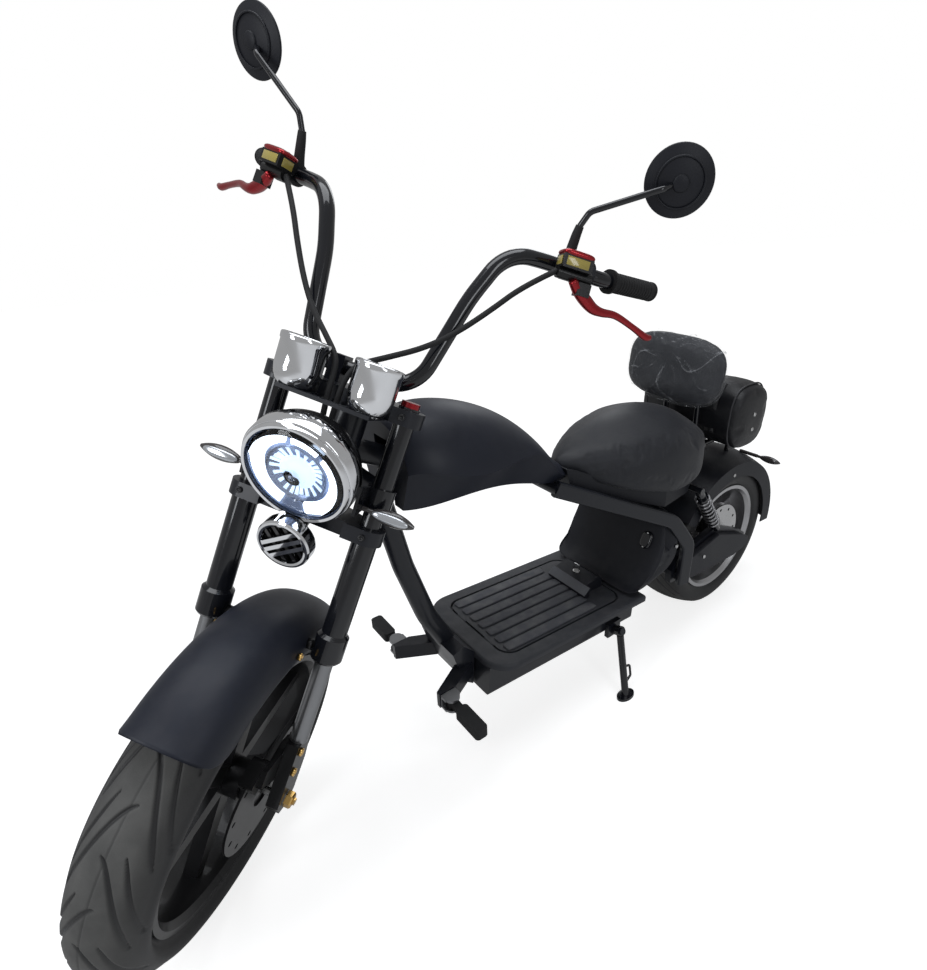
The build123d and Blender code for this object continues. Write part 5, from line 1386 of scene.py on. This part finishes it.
def floor_finish():
    """Plain pale floor, white to the camera where nothing shades it."""
    material, tree, shader = blank("floor")
    surface = group_node(tree, GROUPS["grain"], Scale=40.0)
    tint = mixed(tree, surface.outputs["Mottle"], (0.56, 0.56, 0.56), (0.62, 0.62, 0.62))
    tree.links.new(tint, shader.inputs["Base Color"])
    shader.inputs["Roughness"].default_value = 0.9
    shader.inputs["Specular IOR Level"].default_value = 0.1
    shader.inputs["Emission Color"].default_value = (1.0, 1.0, 1.0, 1.0)
    where = tree.nodes.new("ShaderNodeTexCoord")
    far = tree.nodes.new("ShaderNodeVectorMath")
    far.operation = "LENGTH"
    tree.links.new(where.outputs["Object"], far.inputs[0])
    fade = ranged(tree, far.outputs["Value"], FLOOR_WHITE, 1.0)
    fade.node.inputs["From Min"].default_value = 1.2
    fade.node.inputs["From Max"].default_value = 4.0
    strength = computed(tree, "MULTIPLY", seen_white(tree, GLOSSY_WHITE), fade)
    tree.links.new(strength, shader.inputs["Emission Strength"])
    return material


def make_world():
    """White background to the camera and through glass, softer in reflections and as light."""
    world = bpy.data.worlds.new("studio")
    bpy.context.scene.world = world
    world.use_nodes = True
    tree = world.node_tree
    back = tree.nodes["Background"]
    back.inputs["Color"].default_value = (1.0, 1.0, 1.0, 1.0)
    strength = ranged(tree, seen_white(tree, GLOSSY_WHITE), AMBIENT, 1.0)
    tree.links.new(strength, back.inputs["Strength"])


def lamp(name, place, aim, size, power):
    """A soft rectangular light aimed at a point."""
    data = bpy.data.lights.new(name, "AREA")
    data.shape = "RECTANGLE"
    data.size, data.size_y = size
    data.energy = power
    data.color = (0.93, 0.96, 1.0)
    obj = linked(name, data)
    obj.location = place
    obj.rotation_mode = "QUATERNION"
    obj.rotation_quaternion = (Vector(aim) - Vector(place)).to_track_quat("-Z", "Y")
    return obj


FLOOR_REACH = 60.0
FLOOR_WHITE = 0.80
GLOSSY_WHITE = 0.28
AMBIENT = 0.14
FOCAL_PIXELS = 586.46
MIDDLE_PIXELS = (498.99, 486.47)
FRAME_PIXELS = (927.0, 970.0)
CAMERA_PLACE = (1.43406, 0.85955, 1.16584)
CAMERA_AIM = (0.9000, 0.18004, 0.72917)
CAMERA_ROLL = math.radians(-0.881)


def make_camera():
    """The photograph's camera, placed on the upright bike and leaned with it."""
    data = bpy.data.cameras.new("camera")
    camera = linked("camera", data)
    place = np.array(CAMERA_PLACE)
    out = unit(np.array(CAMERA_AIM) - place)
    right = unit(np.cross(out, (0, 0, 1)))
    top = np.cross(right, out)
    c, s = math.cos(CAMERA_ROLL), math.sin(CAMERA_ROLL)
    right, top = c * right + s * top, c * top - s * right
    basis = np.array(BIKE[1:])
    columns = [right @ basis, top @ basis, -out @ basis]
    turn = Matrix([[float(column[row]) for column in columns] for row in range(3)])
    camera.matrix_world = Matrix.Translation(Vector(bike(place))) @ turn.to_4x4()
    data.sensor_width = 36.0
    data.lens = 36.0 * FOCAL_PIXELS / FRAME_PIXELS[1]
    data.shift_x = (FRAME_PIXELS[0] / 2 - MIDDLE_PIXELS[0]) / FRAME_PIXELS[1]
    data.shift_y = (MIDDLE_PIXELS[1] - FRAME_PIXELS[1] / 2) / FRAME_PIXELS[1]
    data.clip_start = 0.02
    bpy.context.scene.camera = camera


def make_stage():
    """Floor, world, lamps and camera."""
    far = FLOOR_REACH
    points = [(-far, -far, 0), (far, -far, 0), (far, far, 0), (-far, far, 0)]
    mesh = bpy.data.meshes.new("floor")
    mesh.from_pydata(points, [], [(0, 1, 2, 3)])
    floor = linked("floor", mesh)
    mesh.materials.append(floor_finish())
    make_world()
    lamp("ceiling_light", (0.1, 0.2, 3.2), (0.0, 0.0, 0.4), (2.6, 1.6), 44.0)
    lamp("front_light", (2.6, 0.3, 1.7), (0.5, 0.0, 0.6), (0.7, 1.6), 20.0)
    lamp("side_light", (0.4, 2.8, 1.5), (0.1, 0.0, 0.5), (0.6, 1.4), 12.0)
    lamp("back_light", (-2.0, -1.6, 2.2), (-0.1, 0.0, 0.6), (1.2, 1.2), 9.0)
    make_camera()
    bpy.context.scene.view_settings.view_transform = "Standard"


# Settings, operators and panel

class ScooterColours(bpy.types.PropertyGroup):
    """Colours that a user would change."""
    paint: bpy.props.FloatVectorProperty(
        name="Frame paint", description="Colour of the satin frame paint",
        default=(0.0080, 0.0095, 0.0150), subtype="COLOR", min=0.0, max=1.0)
    tank: bpy.props.FloatVectorProperty(
        name="Tank paint", description="Colour of the tank and front mudguard",
        default=(0.0125, 0.0150, 0.0250), subtype="COLOR", min=0.0, max=1.0)
    plastic: bpy.props.FloatVectorProperty(
        name="Body plastic", description="Colour of the moulded body panels",
        default=(0.0085, 0.0096, 0.0145), subtype="COLOR", min=0.0, max=1.0)
    deck: bpy.props.FloatVectorProperty(
        name="Deck", description="Colour of the footboard and its lid",
        default=(0.040, 0.042, 0.049), subtype="COLOR", min=0.0, max=1.0)
    red: bpy.props.FloatVectorProperty(
        name="Red metal", description="Colour of the anodised levers and caps",
        default=(0.34, 0.012, 0.018), subtype="COLOR", min=0.0, max=1.0)


class ScooterSizes(bpy.types.PropertyGroup):
    """Sizes that a user would change."""
    front_blocks: bpy.props.IntProperty(
        name="Front grooves", description="Pairs of grooves round the front tyre",
        default=14, min=6, max=60)
    rear_blocks: bpy.props.IntProperty(
        name="Rear grooves", description="Pairs of grooves round the rear tyre",
        default=12, min=6, max=60)
    groove_depth: bpy.props.FloatProperty(
        name="Groove depth", description="Depth of the tread grooves",
        default=0.0035, min=0.0, max=0.008, unit="LENGTH")


class SCOOTER_OT_finishes(bpy.types.Operator):
    """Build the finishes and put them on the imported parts"""
    bl_idname = "scooter.finishes"
    bl_label = "Finishes"

    def execute(self, context):
        make_finishes(context.scene.scooter_colours)
        return {"FINISHED"}


class SCOOTER_OT_tyres(bpy.types.Operator):
    """Make both tyres with their grooves"""
    bl_idname = "scooter.tyres"
    bl_label = "Tyres"

    def execute(self, context):
        sizes = context.scene.scooter_sizes
        front = JOINTS["front_spin"]
        rear = JOINTS["rear_spin"]
        tread(
            "front_tread", "front_tyre", front["pos_m"], front["axis"],
            (FRONT_RADIUS, 0.062, 0.218, 0.049, 0.036), sizes.front_blocks, sizes.groove_depth,
            GROOVE_LEAN, "front_wheel",
        )
        tread(
            "rear_tread", "rear_tyre", rear["pos_m"], rear["axis"],
            (REAR_RADIUS, 0.100, 0.158, 0.093, 0.022), sizes.rear_blocks, sizes.groove_depth,
            GROOVE_LEAN, "rear_wheel",
        )
        return {"FINISHED"}


class SCOOTER_OT_soft(bpy.types.Operator):
    """Make the seat, the backrest and the bag"""
    bl_idname = "scooter.soft"
    bl_label = "Soft goods"

    def execute(self, context):
        soft_goods()
        return {"FINISHED"}


class SCOOTER_OT_headlight(bpy.types.Operator):
    """Make the headlight's lens, lit ring, bowl and projector"""
    bl_idname = "scooter.headlight"
    bl_label = "Headlight"

    def execute(self, context):
        headlight_pieces()
        return {"FINISHED"}


class SCOOTER_OT_fork_trim(bpy.types.Operator):
    """Make the mudguard, the gauges, and the trim of the horn and the signals"""
    bl_idname = "scooter.fork_trim"
    bl_label = "Fork trim"

    def execute(self, context):
        front_mudguard()
        gauges()
        horn_trim()
        signal_windows()
        return {"FINISHED"}


class SCOOTER_OT_controls(bpy.types.Operator):
    """Make the levers, reservoirs, grips and mirror glass"""
    bl_idname = "scooter.controls"
    bl_label = "Controls"

    def execute(self, context):
        controls()
        hoses()
        grip_rings()
        mirror_faces()
        return {"FINISHED"}


class SCOOTER_OT_body(bpy.types.Operator):
    """Make the riser cover and the deck's strips, lock lever and key"""
    bl_idname = "scooter.body"
    bl_label = "Riser and deck"

    def execute(self, context):
        riser_cover()
        deck_trim()
        return {"FINISHED"}


class SCOOTER_OT_fasteners(bpy.types.Operator):
    """Make the bolts, nuts and springs"""
    bl_idname = "scooter.fasteners"
    bl_label = "Bolts and springs"

    def execute(self, context):
        fasteners()
        shock_springs()
        return {"FINISHED"}


class SCOOTER_OT_stage(bpy.types.Operator):
    """Make the floor, the lights and the camera"""
    bl_idname = "scooter.stage"
    bl_label = "Stage"

    def execute(self, context):
        make_stage()
        return {"FINISHED"}


OPERATORS = (
    SCOOTER_OT_finishes, SCOOTER_OT_tyres, SCOOTER_OT_soft, SCOOTER_OT_headlight,
    SCOOTER_OT_fork_trim, SCOOTER_OT_controls, SCOOTER_OT_body, SCOOTER_OT_fasteners,
    SCOOTER_OT_stage,
)


class SCOOTER_PT_panel(bpy.types.Panel):
    """Lists the scooter's operators and settings"""
    bl_idname = "SCOOTER_PT_panel"
    bl_label = "Scooter"
    bl_space_type = "VIEW_3D"
    bl_region_type = "UI"
    bl_category = "Scooter"

    def draw(self, context):
        for operator in OPERATORS:
            self.layout.operator(operator.bl_idname)
        for group in (context.scene.scooter_colours, context.scene.scooter_sizes):
            for name in group.__annotations__:
                self.layout.prop(group, name)


CLASSES = (ScooterColours, ScooterSizes, *OPERATORS, SCOOTER_PT_panel)


def register():
    """Registers the classes and hangs the settings on the scene."""
    for cls in CLASSES:
        bpy.utils.register_class(cls)
    bpy.types.Scene.scooter_colours = bpy.props.PointerProperty(type=ScooterColours)
    bpy.types.Scene.scooter_sizes = bpy.props.PointerProperty(type=ScooterSizes)


def unregister():
    """Takes the settings and the classes away again."""
    del bpy.types.Scene.scooter_sizes
    del bpy.types.Scene.scooter_colours
    for cls in reversed(CLASSES):
        bpy.utils.unregister_class(cls)


def main():
    """Builds every piece."""
    register()
    for operator in OPERATORS:
        group, name = operator.bl_idname.split(".")
        getattr(getattr(bpy.ops, group), name)()


if __name__ == "__main__":
    main()
